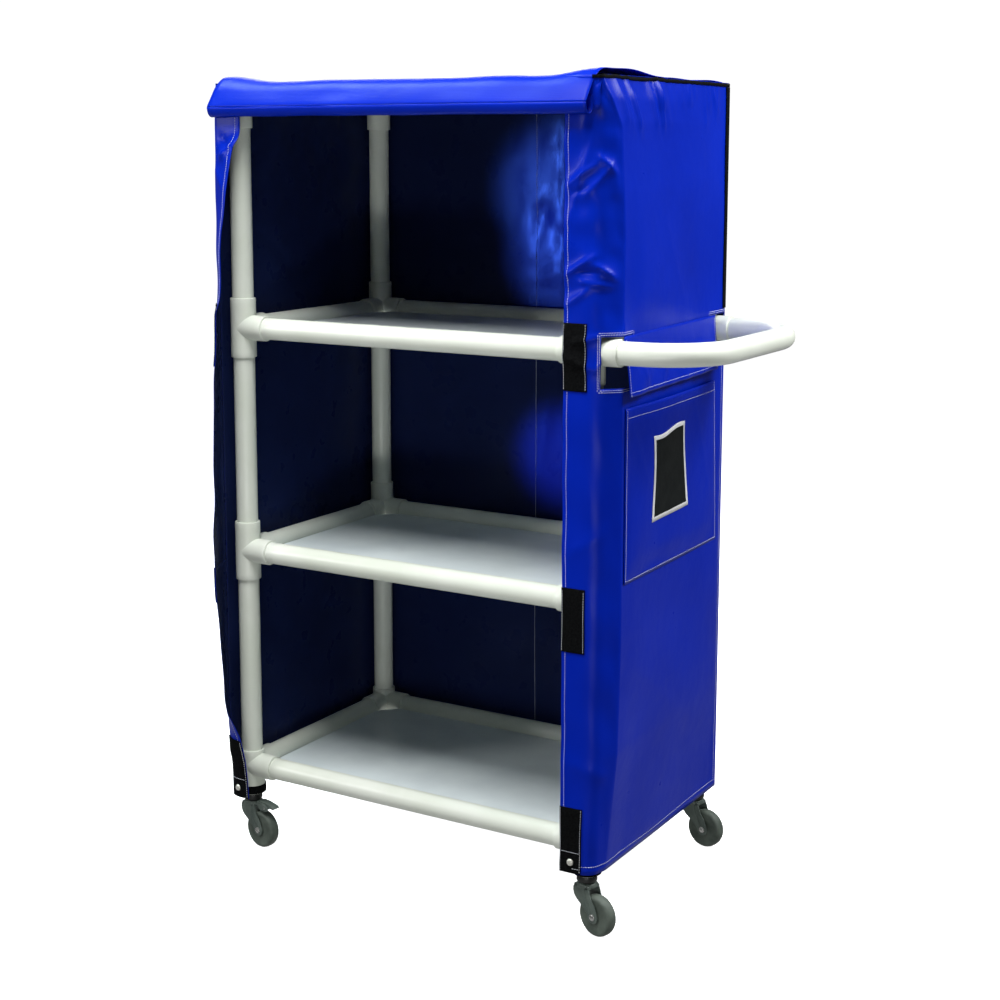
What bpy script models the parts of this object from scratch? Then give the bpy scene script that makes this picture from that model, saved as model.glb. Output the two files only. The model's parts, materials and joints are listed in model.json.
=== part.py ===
"""Linen trolley: a plastic pipe frame with three shelves on four swivel casters, under a vinyl cover.

Row frame: metres, +Z up, the open front faces -Y and the push handle is on the +X end.
The origin is on the floor, in the middle of the footprint.
"""

import math

import bmesh
import bpy
from mathutils import Vector

# ---------------------------------------------------------------- driving dimensions

PIPE_R = 0.0211  # 1 1/4 inch pipe: 42.2 mm outside, 3.6 mm wall
BORE_R = 0.0175
SLEEVE_R = 0.0250  # fitting on the post
SOCKET_R = 0.0247  # side sockets of a fitting
SOCKET_BORE_R = 0.0218
FITTING_REACH = 0.0587  # centre of a fitting to the end of each socket
SOCKET_FLOOR = 0.0310  # centre of a fitting to the bottom of a socket
RAIL_START = 0.0330

POST_X = 0.387
POST_Y = 0.236
LEVELS = (0.170, 0.618, 1.066)  # pipe centres of the bottom, middle and top shelf
TOP_LEVEL = 1.512  # pipe centre of the top ring
POST_FOOT = LEVELS[0] - FITTING_REACH

PANEL_T = 0.0050  # shelf panel
PANEL_DROP = 0.0030  # its top lies this far under the rails' centres
PANEL_GAP = 0.0004

HANDLE_OUT = 0.595  # frame centre to the centre of the grip
HANDLE_BEND = 0.125

VINYL = 0.0012
SIDE_X = 0.4171  # middle of the end panels
FACE_Y = 0.2686  # middle of the back panel and of the front strips
COVER_LOW = 0.1180
COVER_HIGH = 1.5380
COVER_TOP = 1.5391  # middle of the top panel
STRIP_W = 0.0721  # width of the front return strips
STRIP_OPEN = math.radians(68)  # how far the left one stands open
END_FRONT = -0.2240  # where the loose end panel on the handle end bends, behind the front post
END_TURN = math.radians(3.2)  # its front stands this far out, turned about its rear corner
END_REAR = FACE_Y + 0.0004

SLOT_LOW = 1.0045  # openings of the end panel for the handle
SLOT_HIGH = 1.0945
SLOT_FRONT_END = -0.1900
SLOT_REAR = (0.2080, 0.2645)

PATCH_T = 0.0016  # hook strips and straps
PATCH_GAP = 0.0003

CURTAIN_LEFT = -0.3870  # clear of the open left strip when the curtain swings down
CURTAIN_RIGHT = 0.4050
HEAD_Y = -0.2718  # middle of the valance under the cover's front edge, where the curtain starts
HEAD_LOW = 1.4800
LEG_Y = -0.2985  # middle of the curtain where it comes back up
LEG_LOW = 1.4880
CURTAIN_Z = 1.5406  # middle of the curtain where it lies on the top
DROP_Y = 0.2716  # middle of the curtain where it hangs down the back
DROP_LOW = 0.8870
FOLD = 0.0081  # how far each run stops from the corner of a fold

# The origin is in the middle of the footprint, and (OX, OY) is the centre of the pipe frame.
OX = (SIDE_X + VINYL / 2 - HANDLE_OUT - PIPE_R) / 2
PATCH_OUT = VINYL / 2 + PATCH_GAP + PATCH_T
FRONT_REACH = FACE_Y + STRIP_W * math.sin(STRIP_OPEN) + PATCH_OUT * math.cos(STRIP_OPEN)
OY = (FRONT_REACH - DROP_Y - VINYL / 2) / 2

WHEEL_R = 0.0381  # 3 inch wheel
WHEEL_W = 0.0220
TRAIL = 0.0280
CASTERS = {  # post, and the direction in which its caster trails, in degrees from +X
    "fl": (-1, -1, -9.0),
    "fr": (1, -1, -16.0),
    "rl": (-1, 1, -9.0),
    "rr": (1, 1, -9.0),
}

SEGMENTS = 16
WHEEL_SEGMENTS = 24

PVC = (0.80, 0.79, 0.71, 1)
PANEL_WHITE = (0.86, 0.87, 0.88, 1)
BLUE = (0.02, 0.05, 0.55, 1)
BLACK = (0.02, 0.02, 0.02, 1)
DARK_GREY = (0.06, 0.07, 0.07, 1)
GREY = (0.18, 0.20, 0.20, 1)
STEEL = (0.75, 0.76, 0.75, 1)

# ---------------------------------------------------------------- helpers

for old in list(bpy.data.objects):
    bpy.data.objects.remove(old)

trolley = bpy.data.collections.new("linen_trolley")
helpers = bpy.data.collections.new("cutters")
bpy.context.scene.collection.children.link(trolley)
bpy.context.scene.collection.children.link(helpers)


def material(name, colour, roughness=0.4, metallic=0.0):
    mat = bpy.data.materials.new(name)
    mat.use_nodes = True
    shader = mat.node_tree.nodes["Principled BSDF"]
    shader.inputs["Base Color"].default_value = colour
    shader.inputs["Roughness"].default_value = roughness
    shader.inputs["Metallic"].default_value = metallic
    return mat


def add(name, mesh, colour, roughness=0.4, metallic=0.0, cutter=False):
    obj = bpy.data.objects.new(name, mesh)
    if cutter:
        helpers.objects.link(obj)
        obj.hide_render = True
        obj.display_type = "WIRE"
    else:
        trolley.objects.link(obj)
        mesh.materials.append(material(name, colour, roughness, metallic))
    return obj


def from_bmesh(name, bm):
    mesh = bpy.data.meshes.new(name)
    bmesh.ops.recalc_face_normals(bm, faces=bm.faces)
    bm.to_mesh(mesh)
    bm.free()
    return mesh


def box_mesh(name, low, high):
    """A box between two corners."""
    bm = bmesh.new()
    bmesh.ops.create_cube(bm, size=1.0)
    size = [b - a for a, b in zip(low, high)]
    middle = [(a + b) / 2 for a, b in zip(low, high)]
    bmesh.ops.scale(bm, vec=size, verts=bm.verts)
    bmesh.ops.translate(bm, vec=middle, verts=bm.verts)
    return from_bmesh(name, bm)


def rod_mesh(name, radius, start, end, segments=SEGMENTS):
    """A solid round rod between two points."""
    start, end = Vector(start), Vector(end)
    along = end - start
    bm = bmesh.new()
    bmesh.ops.create_cone(
        bm, cap_ends=True, segments=segments, radius1=radius, radius2=radius, depth=along.length
    )
    turn = Vector((0, 0, 1)).rotation_difference(along).to_matrix().to_4x4()
    bmesh.ops.transform(bm, matrix=turn, verts=bm.verts)
    bmesh.ops.translate(bm, vec=(start + end) / 2, verts=bm.verts)
    return from_bmesh(name, bm)


def turned(name, profile, colour, place, turn=(0, 0, 0), closed=True, steps=SEGMENTS, **look):
    """A body of revolution about Z from (radius, height) points, then turned and placed."""
    mesh = bpy.data.meshes.new(name)
    points = [(r, 0, z) for r, z in profile]
    edges = [(i, i + 1) for i in range(len(points) - 1)]
    if closed:
        edges.append((len(points) - 1, 0))
    mesh.from_pydata(points, edges, [])
    obj = add(name, mesh, colour, **look)
    screw = obj.modifiers.new("Screw", "SCREW")
    screw.axis = "Z"
    screw.angle = 2 * math.pi
    screw.steps = steps
    screw.render_steps = steps
    screw.use_merge_vertices = True
    screw.merge_threshold = 0.00002
    screw.use_smooth_shade = False
    obj.rotation_euler = turn
    obj.location = place
    return obj


def tube(name, radius, bore, start, end, colour, **look):
    """A straight pipe along X, Y or Z between two points."""
    start, end = Vector(start), Vector(end)
    half = (end - start).length / 2
    profile = [(radius, half), (radius, -half), (bore, -half), (bore, half)]
    turn = Vector((0, 0, 1)).rotation_difference(end - start).to_euler()
    return turned(name, profile, colour, (start + end) / 2, turn, **look)


def boolean(obj, name, operation, other):
    cut = obj.modifiers.new(name, "BOOLEAN")
    cut.operation = operation
    cut.solver = "EXACT"
    cut.object = other
    return cut


def boolean_all(obj, name, operation, others):
    """One Boolean with every object of a collection."""
    group = bpy.data.collections.new(obj.name + name)
    helpers.children.link(group)
    group.hide_render = True
    for other in others:
        helpers.objects.unlink(other)
        group.objects.link(other)
    cut = obj.modifiers.new(name, "BOOLEAN")
    cut.operation = operation
    cut.solver = "EXACT"
    cut.operand_type = "COLLECTION"
    cut.collection = group
    return cut


def sheet(name, rows, colour, thickness=VINYL, skip=None, **look):
    """A sheet through rows of points, given a thickness on both sides of them. skip leaves out a cell."""
    mesh = bpy.data.meshes.new(name)
    wide = len(rows[0])
    points = [tuple(p) for row in rows for p in row]
    faces = []
    for i in range(len(rows) - 1):
        for j in range(wide - 1):
            if skip and skip(i, j):
                continue
            a = i * wide + j
            faces.append((a, a + 1, a + wide + 1, a + wide))
    mesh.from_pydata(points, [], faces)
    obj = add(name, mesh, colour, **look)
    thick = obj.modifiers.new("Thickness", "SOLIDIFY")
    thick.thickness = thickness
    thick.offset = 0
    thick.use_even_offset = True
    thick.use_rim = True
    return obj


def extruded_sheet(name, profile, x0, x1, colour, thickness=VINYL, **look):
    """A sheet with the same (y, z) profile from x0 to x1."""
    rows = [[(OX + x, OY + y, z) for x in (x0, x1)] for y, z in profile]
    return sheet(name, rows, colour, thickness, **look)


def arc(centre, radius, start, end, count):
    """Points of an arc, angles in degrees."""
    found = []
    for i in range(count + 1):
        a = math.radians(start + (end - start) * i / count)
        found.append((centre[0] + radius * math.cos(a), centre[1] + radius * math.sin(a)))
    return found


# ---------------------------------------------------------------- posts with their fittings


def post(name, sx, sy, handle_socket):
    """One upright with four fittings welded on: sleeves on the pipe and a socket for each rail."""
    x, y = OX + sx * POST_X, OY + sy * POST_Y
    top = TOP_LEVEL + SLEEVE_R - 0.0015
    profile = [(0, top), (SLEEVE_R - 0.004, top), (SLEEVE_R, top - 0.004)]
    profile.append((SLEEVE_R, TOP_LEVEL - FITTING_REACH))
    profile.append((PIPE_R, TOP_LEVEL - FITTING_REACH))
    for level in reversed(LEVELS[1:]):
        profile.append((PIPE_R, level + FITTING_REACH))
        profile.append((SLEEVE_R, level + FITTING_REACH))
        profile.append((SLEEVE_R, level - FITTING_REACH))
        profile.append((PIPE_R, level - FITTING_REACH))
    profile.append((PIPE_R, LEVELS[0] + FITTING_REACH * 0.55))
    profile.append((SLEEVE_R, LEVELS[0] + FITTING_REACH * 0.55))
    profile.append((SLEEVE_R, POST_FOOT))
    profile.append((0, POST_FOOT))
    obj = turned(name, profile, PVC, (x, y, 0), closed=False, roughness=0.35)
    bodies = []
    bores = []
    for level in (*LEVELS, TOP_LEVEL):
        ways = [(-sx, 0), (0, -sy)]
        if handle_socket and level == LEVELS[2]:
            ways.append((sx, 0))
        for way in ways:
            tag = f"{name}_{level:.2f}_{way[0]}_{way[1]}"
            at = [(x + way[0] * d, y + way[1] * d, level) for d in (0, FITTING_REACH)]
            bodies.append(add(tag, rod_mesh(tag, SOCKET_R, *at), PVC, cutter=True))
            at = [(x + way[0] * d, y + way[1] * d, level) for d in (SOCKET_FLOOR, 0.08)]
            bores.append(
                add(tag + "_bore", rod_mesh(tag + "_bore", SOCKET_BORE_R, *at), PVC, cutter=True)
            )
    for low, high, r, tag in (
        (LEVELS[0] - 0.012, TOP_LEVEL - 0.012, BORE_R, "_bore"),
        (POST_FOOT - 0.02, LEVELS[0], STEM_BORE_R, "_stem_hole"),
    ):
        rod = rod_mesh(name + tag, r, (x, y, low), (x, y, high))
        bores.append(add(name + tag, rod, PVC, cutter=True))
    boolean_all(obj, "Sockets", "UNION", bodies)
    boolean_all(obj, "Bores", "DIFFERENCE", bores)
    return obj


STEM_R = 0.0056
STEM_BORE_R = 0.0059
STEM_TOP = POST_FOOT + 0.038

for key, (sx, sy, _) in CASTERS.items():
    post("post_" + key, sx, sy, sx > 0)

# ---------------------------------------------------------------- rails and shelf panels


def ring(tag, level):
    """Four rails between the posts at one level."""
    px, py = POST_X - RAIL_START, POST_Y - RAIL_START
    for side, sy in (("front", -1), ("rear", 1)):
        y = OY + sy * POST_Y
        tube(
            f"rail_{tag}_{side}",
            PIPE_R,
            BORE_R,
            (OX - px, y, level),
            (OX + px, y, level),
            PVC,
            roughness=0.35,
        )
    for side, sx in (("left", -1), ("right", 1)):
        x = OX + sx * POST_X
        tube(
            f"rail_{tag}_{side}",
            PIPE_R,
            BORE_R,
            (x, OY - py, level),
            (x, OY + py, level),
            PVC,
            roughness=0.35,
        )


def panel(name, level):
    """A flat plate between the four rails, with its corners cut round the fittings."""
    hx = POST_X - PIPE_R - PANEL_GAP
    hy = POST_Y - PIPE_R - PANEL_GAP
    cx = POST_X - FITTING_REACH - 0.0010
    cy = POST_Y - SOCKET_R - 0.0008
    cx2 = POST_X - SOCKET_R - 0.0008
    cy2 = POST_Y - FITTING_REACH - 0.0010
    quarter = [(cx, hy), (cx, cy), (cx2 - 0.028, cy), (cx2, cy - 0.028), (cx2, cy2), (hx, cy2)]
    outline = list(quarter)
    outline += [(x, -y) for x, y in reversed(quarter)]
    outline += [(-x, -y) for x, y in quarter]
    outline += [(-x, y) for x, y in reversed(quarter)]
    top = level - PANEL_DROP
    bm = bmesh.new()
    verts = [bm.verts.new((OX + x, OY + y, top)) for x, y in outline]
    face = bm.faces.new(verts)
    grown = bmesh.ops.extrude_face_region(bm, geom=[face])["geom"]
    lower = [g for g in grown if isinstance(g, bmesh.types.BMVert)]
    bmesh.ops.translate(bm, vec=(0, 0, -PANEL_T), verts=lower)
    return add(name, from_bmesh(name, bm), PANEL_WHITE, roughness=0.25)


for tag, level in (("low", LEVELS[0]), ("mid", LEVELS[1]), ("high", LEVELS[2]), ("top", TOP_LEVEL)):
    ring(tag, level)
    if level != TOP_LEVEL:
        panel("shelf_panel_" + tag, level)

# ---------------------------------------------------------------- push handle


def handle():
    """A bent pipe: out of one post's socket, across the end and back into the other."""
    bend = (HANDLE_OUT - HANDLE_BEND, POST_Y - HANDLE_BEND)
    path = [(POST_X + RAIL_START, -POST_Y)]
    path += arc((bend[0], -bend[1]), HANDLE_BEND, -90, 0, 8)
    path += arc((bend[0], bend[1]), HANDLE_BEND, 0, 90, 8)
    path.append((POST_X + RAIL_START, POST_Y))
    bm = bmesh.new()
    loops = []
    for i, (px, py) in enumerate(path):
        a = Vector(path[max(i - 1, 0)])
        b = Vector(path[min(i + 1, len(path) - 1)])
        ahead = (b - a).normalized()
        side = Vector((ahead.y, -ahead.x))
        for radius in (PIPE_R, BORE_R):
            ring_verts = []
            for k in range(SEGMENTS):
                t = 2 * math.pi * k / SEGMENTS
                off = side * (radius * math.cos(t))
                z = LEVELS[2] + radius * math.sin(t)
                ring_verts.append(bm.verts.new((OX + px + off.x, OY + py + off.y, z)))
            loops.append(ring_verts)
    outer, inner = loops[0::2], loops[1::2]
    for i in range(len(path) - 1):
        for k in range(SEGMENTS):
            n = (k + 1) % SEGMENTS
            bm.faces.new((outer[i][k], outer[i][n], outer[i + 1][n], outer[i + 1][k]))
            bm.faces.new((inner[i][k], inner[i + 1][k], inner[i + 1][n], inner[i][n]))
    for i in (0, len(path) - 1):
        for k in range(SEGMENTS):
            n = (k + 1) % SEGMENTS
            bm.faces.new((outer[i][k], inner[i][k], inner[i][n], outer[i][n]))
    return add("handle", from_bmesh("handle", bm), PVC, roughness=0.35)


handle()

# ---------------------------------------------------------------- casters

AXLE_R = 0.0040
CHEEK_IN = WHEEL_W / 2 + 0.0015
CHEEK_OUT = CHEEK_IN + 0.0028
CROWN_LOW = 0.0828
CROWN_HIGH = 0.0880
CUP_R = 0.0185


def caster(key, sx, sy, heading):
    """Fork with its stem, wheel and axle. The fork's own axis is the post's axis."""
    x, y = OX + sx * POST_X, OY + sy * POST_Y
    turn = (0, 0, math.radians(heading))
    way = Vector((math.cos(turn[2]), math.sin(turn[2]), 0))
    hub_at = Vector((x, y, WHEEL_R)) + way * TRAIL
    stem = [
        (0, STEM_TOP),
        (STEM_R, STEM_TOP),
        (STEM_R, POST_FOOT - 0.0004),
        (CUP_R, POST_FOOT - 0.0004),
        (CUP_R, 0.0985),
        (CUP_R - 0.0035, CROWN_HIGH - 0.001),
        (0, CROWN_HIGH - 0.001),
    ]
    name = "caster_fork_" + key
    fork = turned(name, stem, DARK_GREY, (x, y, 0), turn, closed=False, roughness=0.45)
    outline = [(-0.0190, 0.0880), (-0.0205, 0.0800), (-0.0165, 0.0665), (0.0060, 0.0470)]
    outline += [
        (TRAIL + r * math.cos(math.radians(a)), WHEEL_R + r * math.sin(math.radians(a)))
        for r, a in ((0.0115, 200), (0.0115, 235), (0.0115, 270), (0.0115, 305), (0.0115, 340))
    ]
    outline += [(TRAIL + 0.0115, WHEEL_R + 0.002), (TRAIL + 0.006, 0.0600), (0.0190, 0.0880)]
    parts = []
    for side in (-1, 1):
        bm = bmesh.new()
        a, b = sorted((side * CHEEK_IN, side * CHEEK_OUT))
        front = [bm.verts.new((u, a, v)) for u, v in outline]
        back = [bm.verts.new((u, b, v)) for u, v in outline]
        bm.faces.new(front)
        bm.faces.new(list(reversed(back)))
        for i in range(len(outline)):
            n = (i + 1) % len(outline)
            bm.faces.new((front[i], back[i], back[n], front[n]))
        tag = f"{name}_cheek{side}"
        parts.append(add(tag, from_bmesh(tag, bm), DARK_GREY, cutter=True))
    tag = name + "_crown"
    low = (-0.0185, -CHEEK_OUT + 0.0004, CROWN_LOW)
    high = (0.0180, CHEEK_OUT - 0.0004, CROWN_HIGH - 0.0002)
    parts.append(add(tag, box_mesh(tag, low, high), DARK_GREY, cutter=True))
    for part in parts:
        part.rotation_euler = turn
        part.location = (x, y, 0)
    tag = name + "_axle_hole"
    hole = rod_mesh(tag, AXLE_R + 0.0003, (TRAIL, -0.03, WHEEL_R), (TRAIL, 0.03, WHEEL_R))
    hole = add(tag, hole, DARK_GREY, cutter=True)
    hole.rotation_euler = turn
    hole.location = (x, y, 0)
    boolean_all(fork, "Body", "UNION", parts)
    boolean(fork, "Axle hole", "DIFFERENCE", hole)
    lie = (math.pi / 2, 0, turn[2])
    half = CHEEK_OUT + 0.0022
    pin = [
        (0, half),
        (0.0062, half),
        (0.0062, CHEEK_OUT + 0.0003),
        (AXLE_R, CHEEK_OUT + 0.0003),
        (AXLE_R, -CHEEK_OUT - 0.0003),
        (0.0062, -CHEEK_OUT - 0.0003),
        (0.0062, -half),
        (0, -half),
    ]
    turned(
        "caster_axle_" + key,
        pin,
        STEEL,
        hub_at,
        lie,
        closed=False,
        steps=12,
        roughness=0.25,
        metallic=1.0,
    )
    w = WHEEL_W / 2
    hub = [
        (0.0075, w + 0.0008),
        (0.0115, w),
        (0.0125, w - 0.0045),
        (0.0255, w - 0.0055),
        (0.0290, w - 0.0015),
        (0.0290, -w + 0.0015),
        (0.0255, -w + 0.0055),
        (0.0125, -w + 0.0045),
        (0.0115, -w),
        (0.0075, -w - 0.0008),
        (AXLE_R + 0.0003, -w - 0.0008),
        (AXLE_R + 0.0003, w + 0.0008),
    ]
    turned("wheel_hub_" + key, hub, GREY, hub_at, lie, steps=WHEEL_SEGMENTS, roughness=0.5)
    tyre = [
        (0.0300, w),
        (0.0340, w - 0.0008),
        (WHEEL_R - 0.0012, w - 0.0040),
        (WHEEL_R, w - 0.0075),
        (WHEEL_R, -w + 0.0075),
        (WHEEL_R - 0.0012, -w + 0.0040),
        (0.0340, -w + 0.0008),
        (0.0300, -w),
        (0.0293, -w + 0.0012),
        (0.0293, w - 0.0012),
    ]
    turned("tyre_" + key, tyre, DARK_GREY, hub_at, lie, steps=WHEEL_SEGMENTS, roughness=0.6)
    return x, y, turn


for key, (sx, sy, heading) in CASTERS.items():
    caster(key, sx, sy, heading)


def brake(key):
    """Foot pedal that presses on the tyre, hinged across the trailing side of the fork."""
    sx, sy, heading = CASTERS[key]
    x, y = OX + sx * POST_X, OY + sy * POST_Y
    outline = [
        (0.0215, 0.0905),
        (0.0215, 0.0985),
        (0.0400, 0.0985),
        (0.0640, 0.0935),
        (0.0680, 0.0890),
        (0.0640, 0.0872),
        (0.0440, 0.0900),
        (0.0380, 0.0800),
        (0.0330, 0.0810),
        (0.0300, 0.0890),
    ]
    bm = bmesh.new()
    front = [bm.verts.new((u, -0.0105, v)) for u, v in outline]
    back = [bm.verts.new((u, 0.0105, v)) for u, v in outline]
    bm.faces.new(front)
    bm.faces.new(list(reversed(back)))
    for i in range(len(outline)):
        n = (i + 1) % len(outline)
        bm.faces.new((front[i], back[i], back[n], front[n]))
    name = "brake_pedal_" + key
    obj = add(name, from_bmesh(name, bm), DARK_GREY, roughness=0.45)
    obj.rotation_euler = (0, 0, math.radians(heading))
    obj.location = (x, y, 0)
    return obj


brake("fl")

# ---------------------------------------------------------------- vinyl cover

RETURN_LOW = 0.2450  # the left strip is still held shut below this height, by its strap
RETURN_HIGH = 1.4650  # and above this one, where it is sewn to the top
STRIP_GAP = 0.0005


def end_point(x, y):
    """A point placed beside a square end panel, turned about the rear corner as the real panel is."""
    dx, dy = x - SIDE_X, y - END_REAR
    c, s = math.cos(END_TURN), math.sin(END_TURN)
    return OX + SIDE_X + c * dx - s * dy, OY + END_REAR + s * dx + c * dy


def strip_point(u, off=0.0):
    """A point of the left strip, at a distance from its hinge and off its outer face."""
    c, s = math.cos(STRIP_OPEN), math.sin(STRIP_OPEN)
    return OX - SIDE_X + u * c - off * s, OY - FACE_Y - u * s - off * c


def cover():
    rows = []
    for z in (COVER_LOW, RETURN_LOW, RETURN_HIGH, COVER_HIGH):
        row = [(OX - SIDE_X, OY + FACE_Y + 0.0004, z), (OX - SIDE_X, OY - FACE_Y, z)]
        row.append((OX - SIDE_X + STRIP_W, OY - FACE_Y, z))
        rows.append(row)
    sheet("cover_left", rows, BLUE, skip=lambda i, j: i == 1 and j == 1, roughness=0.3)

    rows = []
    for z in (RETURN_LOW + STRIP_GAP, RETURN_HIGH - STRIP_GAP):
        rows.append([(*strip_point(u), z) for u in (VINYL / 2 + PATCH_GAP, STRIP_W)])
    sheet("strip_left", rows, BLUE, roughness=0.3)

    # The handle end: a front strip, two bends round the post, then the end panel.
    x, y = end_point(SIDE_X, END_FRONT)
    loose = (0.4000, -0.2686), (0.4160, -0.2630), (x - OX, y - OY)
    sections = {
        COVER_LOW: ((0.3950, -0.2686), (0.4120, -0.2565), (0.4182, -0.2290)),
        0.550: loose,
        SLOT_LOW: loose,
        SLOT_HIGH: loose,
        1.360: loose,
        1.460: ((0.4000, -0.2686), (0.4165, -0.2645), (0.4390, -0.2250)),
        COVER_HIGH: ((0.4000, -0.2686), (0.4130, -0.2686), (0.4171, -0.2640)),
    }
    cuts = [(y - END_FRONT) / (END_REAR - END_FRONT) for y in (SLOT_FRONT_END, *SLOT_REAR)]
    rows = []
    for z, (a, b, c) in sections.items():
        row = [(SIDE_X - STRIP_W, -FACE_Y), a, b]
        row += [(c[0] + (SIDE_X - c[0]) * f, c[1] + (END_REAR - c[1]) * f) for f in (0, *cuts, 1)]
        rows.append([(OX + x, OY + y, z) for x, y in row])
    slots = ((2, 2), (2, 3), (2, 5))
    sheet("cover_right", rows, BLUE, skip=lambda i, j: (i, j) in slots, roughness=0.3)

    x = SIDE_X - VINYL / 2 - 0.0005
    rows = [[(OX - x, OY + FACE_Y, z), (OX + x, OY + FACE_Y, z)] for z in (COVER_LOW, COVER_HIGH)]
    sheet("cover_back", rows, BLUE, roughness=0.3)

    profile = [(FACE_Y, COVER_TOP), (HEAD_Y, COVER_TOP), (HEAD_Y, HEAD_LOW)]
    extruded_sheet("cover_top", profile, -SIDE_X, SIDE_X, BLUE, roughness=0.3)


def curtain():
    """The front curtain, thrown back over the top. Its three flat runs are hinged at the folds."""
    runs = {
        "curtain_leg": [(LEG_Y, LEG_LOW), (LEG_Y, CURTAIN_Z - FOLD)],
        "curtain_top": [(LEG_Y + FOLD, CURTAIN_Z), (DROP_Y - FOLD, CURTAIN_Z)],
        "curtain_drop": [(DROP_Y, CURTAIN_Z - FOLD), (DROP_Y, DROP_LOW)],
    }
    for name, profile in runs.items():
        extruded_sheet(name, profile, CURTAIN_LEFT, CURTAIN_RIGHT, BLUE, roughness=0.25)


def end_panel_pieces():
    """Handle flap, document pocket and label on the handle end."""
    face = SIDE_X + VINYL / 2
    ends = end_point(face + 0.0012, -0.1600), end_point(face + 0.0012, 0.1800)
    rows = [[(x, y, z) for x, y in ends] for z in (0.988, 1.0930)]
    sheet("handle_flap", rows, BLUE, roughness=0.3)

    deep = 0.0105
    y0, y1, z0, z1 = -0.220, 0.235, 0.648, 0.966
    near, far = face + 0.0004, face + deep
    t = VINYL / 2
    bm = bmesh.new()
    pts = {}
    for i, px in enumerate((near, far)):
        for j, py in enumerate((y0 + t, y1 - t)):
            for k, pz in enumerate((z0 + t, z1)):
                pts[i, j, k] = bm.verts.new((*end_point(px, py), pz))
    bm.faces.new((pts[1, 0, 0], pts[1, 1, 0], pts[1, 1, 1], pts[1, 0, 1]))
    bm.faces.new((pts[0, 0, 0], pts[1, 0, 0], pts[1, 0, 1], pts[0, 0, 1]))
    bm.faces.new((pts[1, 1, 0], pts[0, 1, 0], pts[0, 1, 1], pts[1, 1, 1]))
    bm.faces.new((pts[0, 0, 0], pts[0, 1, 0], pts[1, 1, 0], pts[1, 0, 0]))
    mesh = bpy.data.meshes.new("pocket")
    bm.to_mesh(mesh)
    bm.free()
    obj = add("pocket", mesh, BLUE, roughness=0.3)
    thick = obj.modifiers.new("Thickness", "SOLIDIFY")
    thick.thickness = VINYL
    thick.offset = 0
    thick.use_even_offset = True

    x = far + VINYL / 2
    mesh = box_mesh("label", (x + 0.0003, -0.105, 0.744), (x + 0.0011, 0.060, 0.907))
    for vertex in mesh.vertices:
        vertex.co.xy = end_point(vertex.co.x, vertex.co.y)
    add("label", mesh, BLACK, roughness=0.4)


def fastenings():
    """Hook strips on the return strips, corner straps round the feet of the front posts, snap studs."""
    gap = VINYL / 2 + PATCH_GAP
    plate_y = OY - FACE_Y - gap
    for tag, z0, z1 in (("high", 0.998, 1.117), ("mid", 0.530, 0.647)):
        low = (OX + SIDE_X - STRIP_W, plate_y - PATCH_T, z0)
        high = (OX + SIDE_X - 0.0150, plate_y, z1)
        name = f"hook_patch_{tag}_right"
        add(name, box_mesh(name, low, high), BLACK, roughness=0.8)
        name = f"hook_patch_{tag}_left"
        mesh = box_mesh(name, (0.0150, gap, z0), (STRIP_W, gap + PATCH_T, z1))
        for vertex in mesh.vertices:
            vertex.co.xy = strip_point(vertex.co.x, vertex.co.y)
        mesh.flip_normals()
        add(name, mesh, BLACK, roughness=0.8)

    for side, sx in (("right", 1), ("left", -1)):
        name = "corner_strap_" + side
        x, y = OX + sx * POST_X, OY - POST_Y
        low_z = POST_FOOT + 0.0012
        band = [(0.0270, 0.1290), (0.0270, low_z), (SLEEVE_R + 0.0004, low_z)]
        band.append((SLEEVE_R + 0.0004, 0.1290))
        obj = turned(name, band, BLACK, (x, y, 0), roughness=0.7)
        ends = sorted((OX + sx * (SIDE_X - STRIP_W), OX + sx * (SIDE_X - 0.0150)))
        low, high = (ends[0], plate_y - PATCH_T, low_z), (ends[1], plate_y, 0.242)
        plate = add(name + "_plate", box_mesh(name + "_plate", low, high), BLACK, cutter=True)
        web_x = sorted((x - sx * 0.0340, x - sx * 0.0080))
        low = (web_x[0], plate_y - PATCH_T + 0.0003, low_z + 0.0003)
        high = (web_x[1], OY - POST_Y - 0.0225, COVER_LOW - 0.0012)
        web = add(name + "_web", box_mesh(name + "_web", low, high), BLACK, cutter=True)
        foot = rod_mesh(name + "_foot", SLEEVE_R + 0.0002, (x, y, 0.10), (x, y, 0.14))
        boolean(obj, "Web", "UNION", web)
        boolean(obj, "Plate", "UNION", plate)
        boolean(obj, "Foot", "DIFFERENCE", add(name + "_foot", foot, BLACK, cutter=True))

        stud = [(0, 0.0032), (0.0045, 0.0028), (0.0068, 0.0012), (0.0068, 0), (0, 0)]
        turned(
            "snap_stud_" + side,
            stud,
            STEEL,
            (OX + sx * 0.3743, plate_y - PATCH_T - 0.0003, 0.139),
            (math.pi / 2, 0, 0),
            closed=False,
            steps=12,
            roughness=0.3,
            metallic=1.0,
        )


cover()
curtain()
end_panel_pieces()
fastenings()
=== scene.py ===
import json
import math

import bmesh
import bpy
import numpy as np
from mathutils import Matrix, Vector


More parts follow.
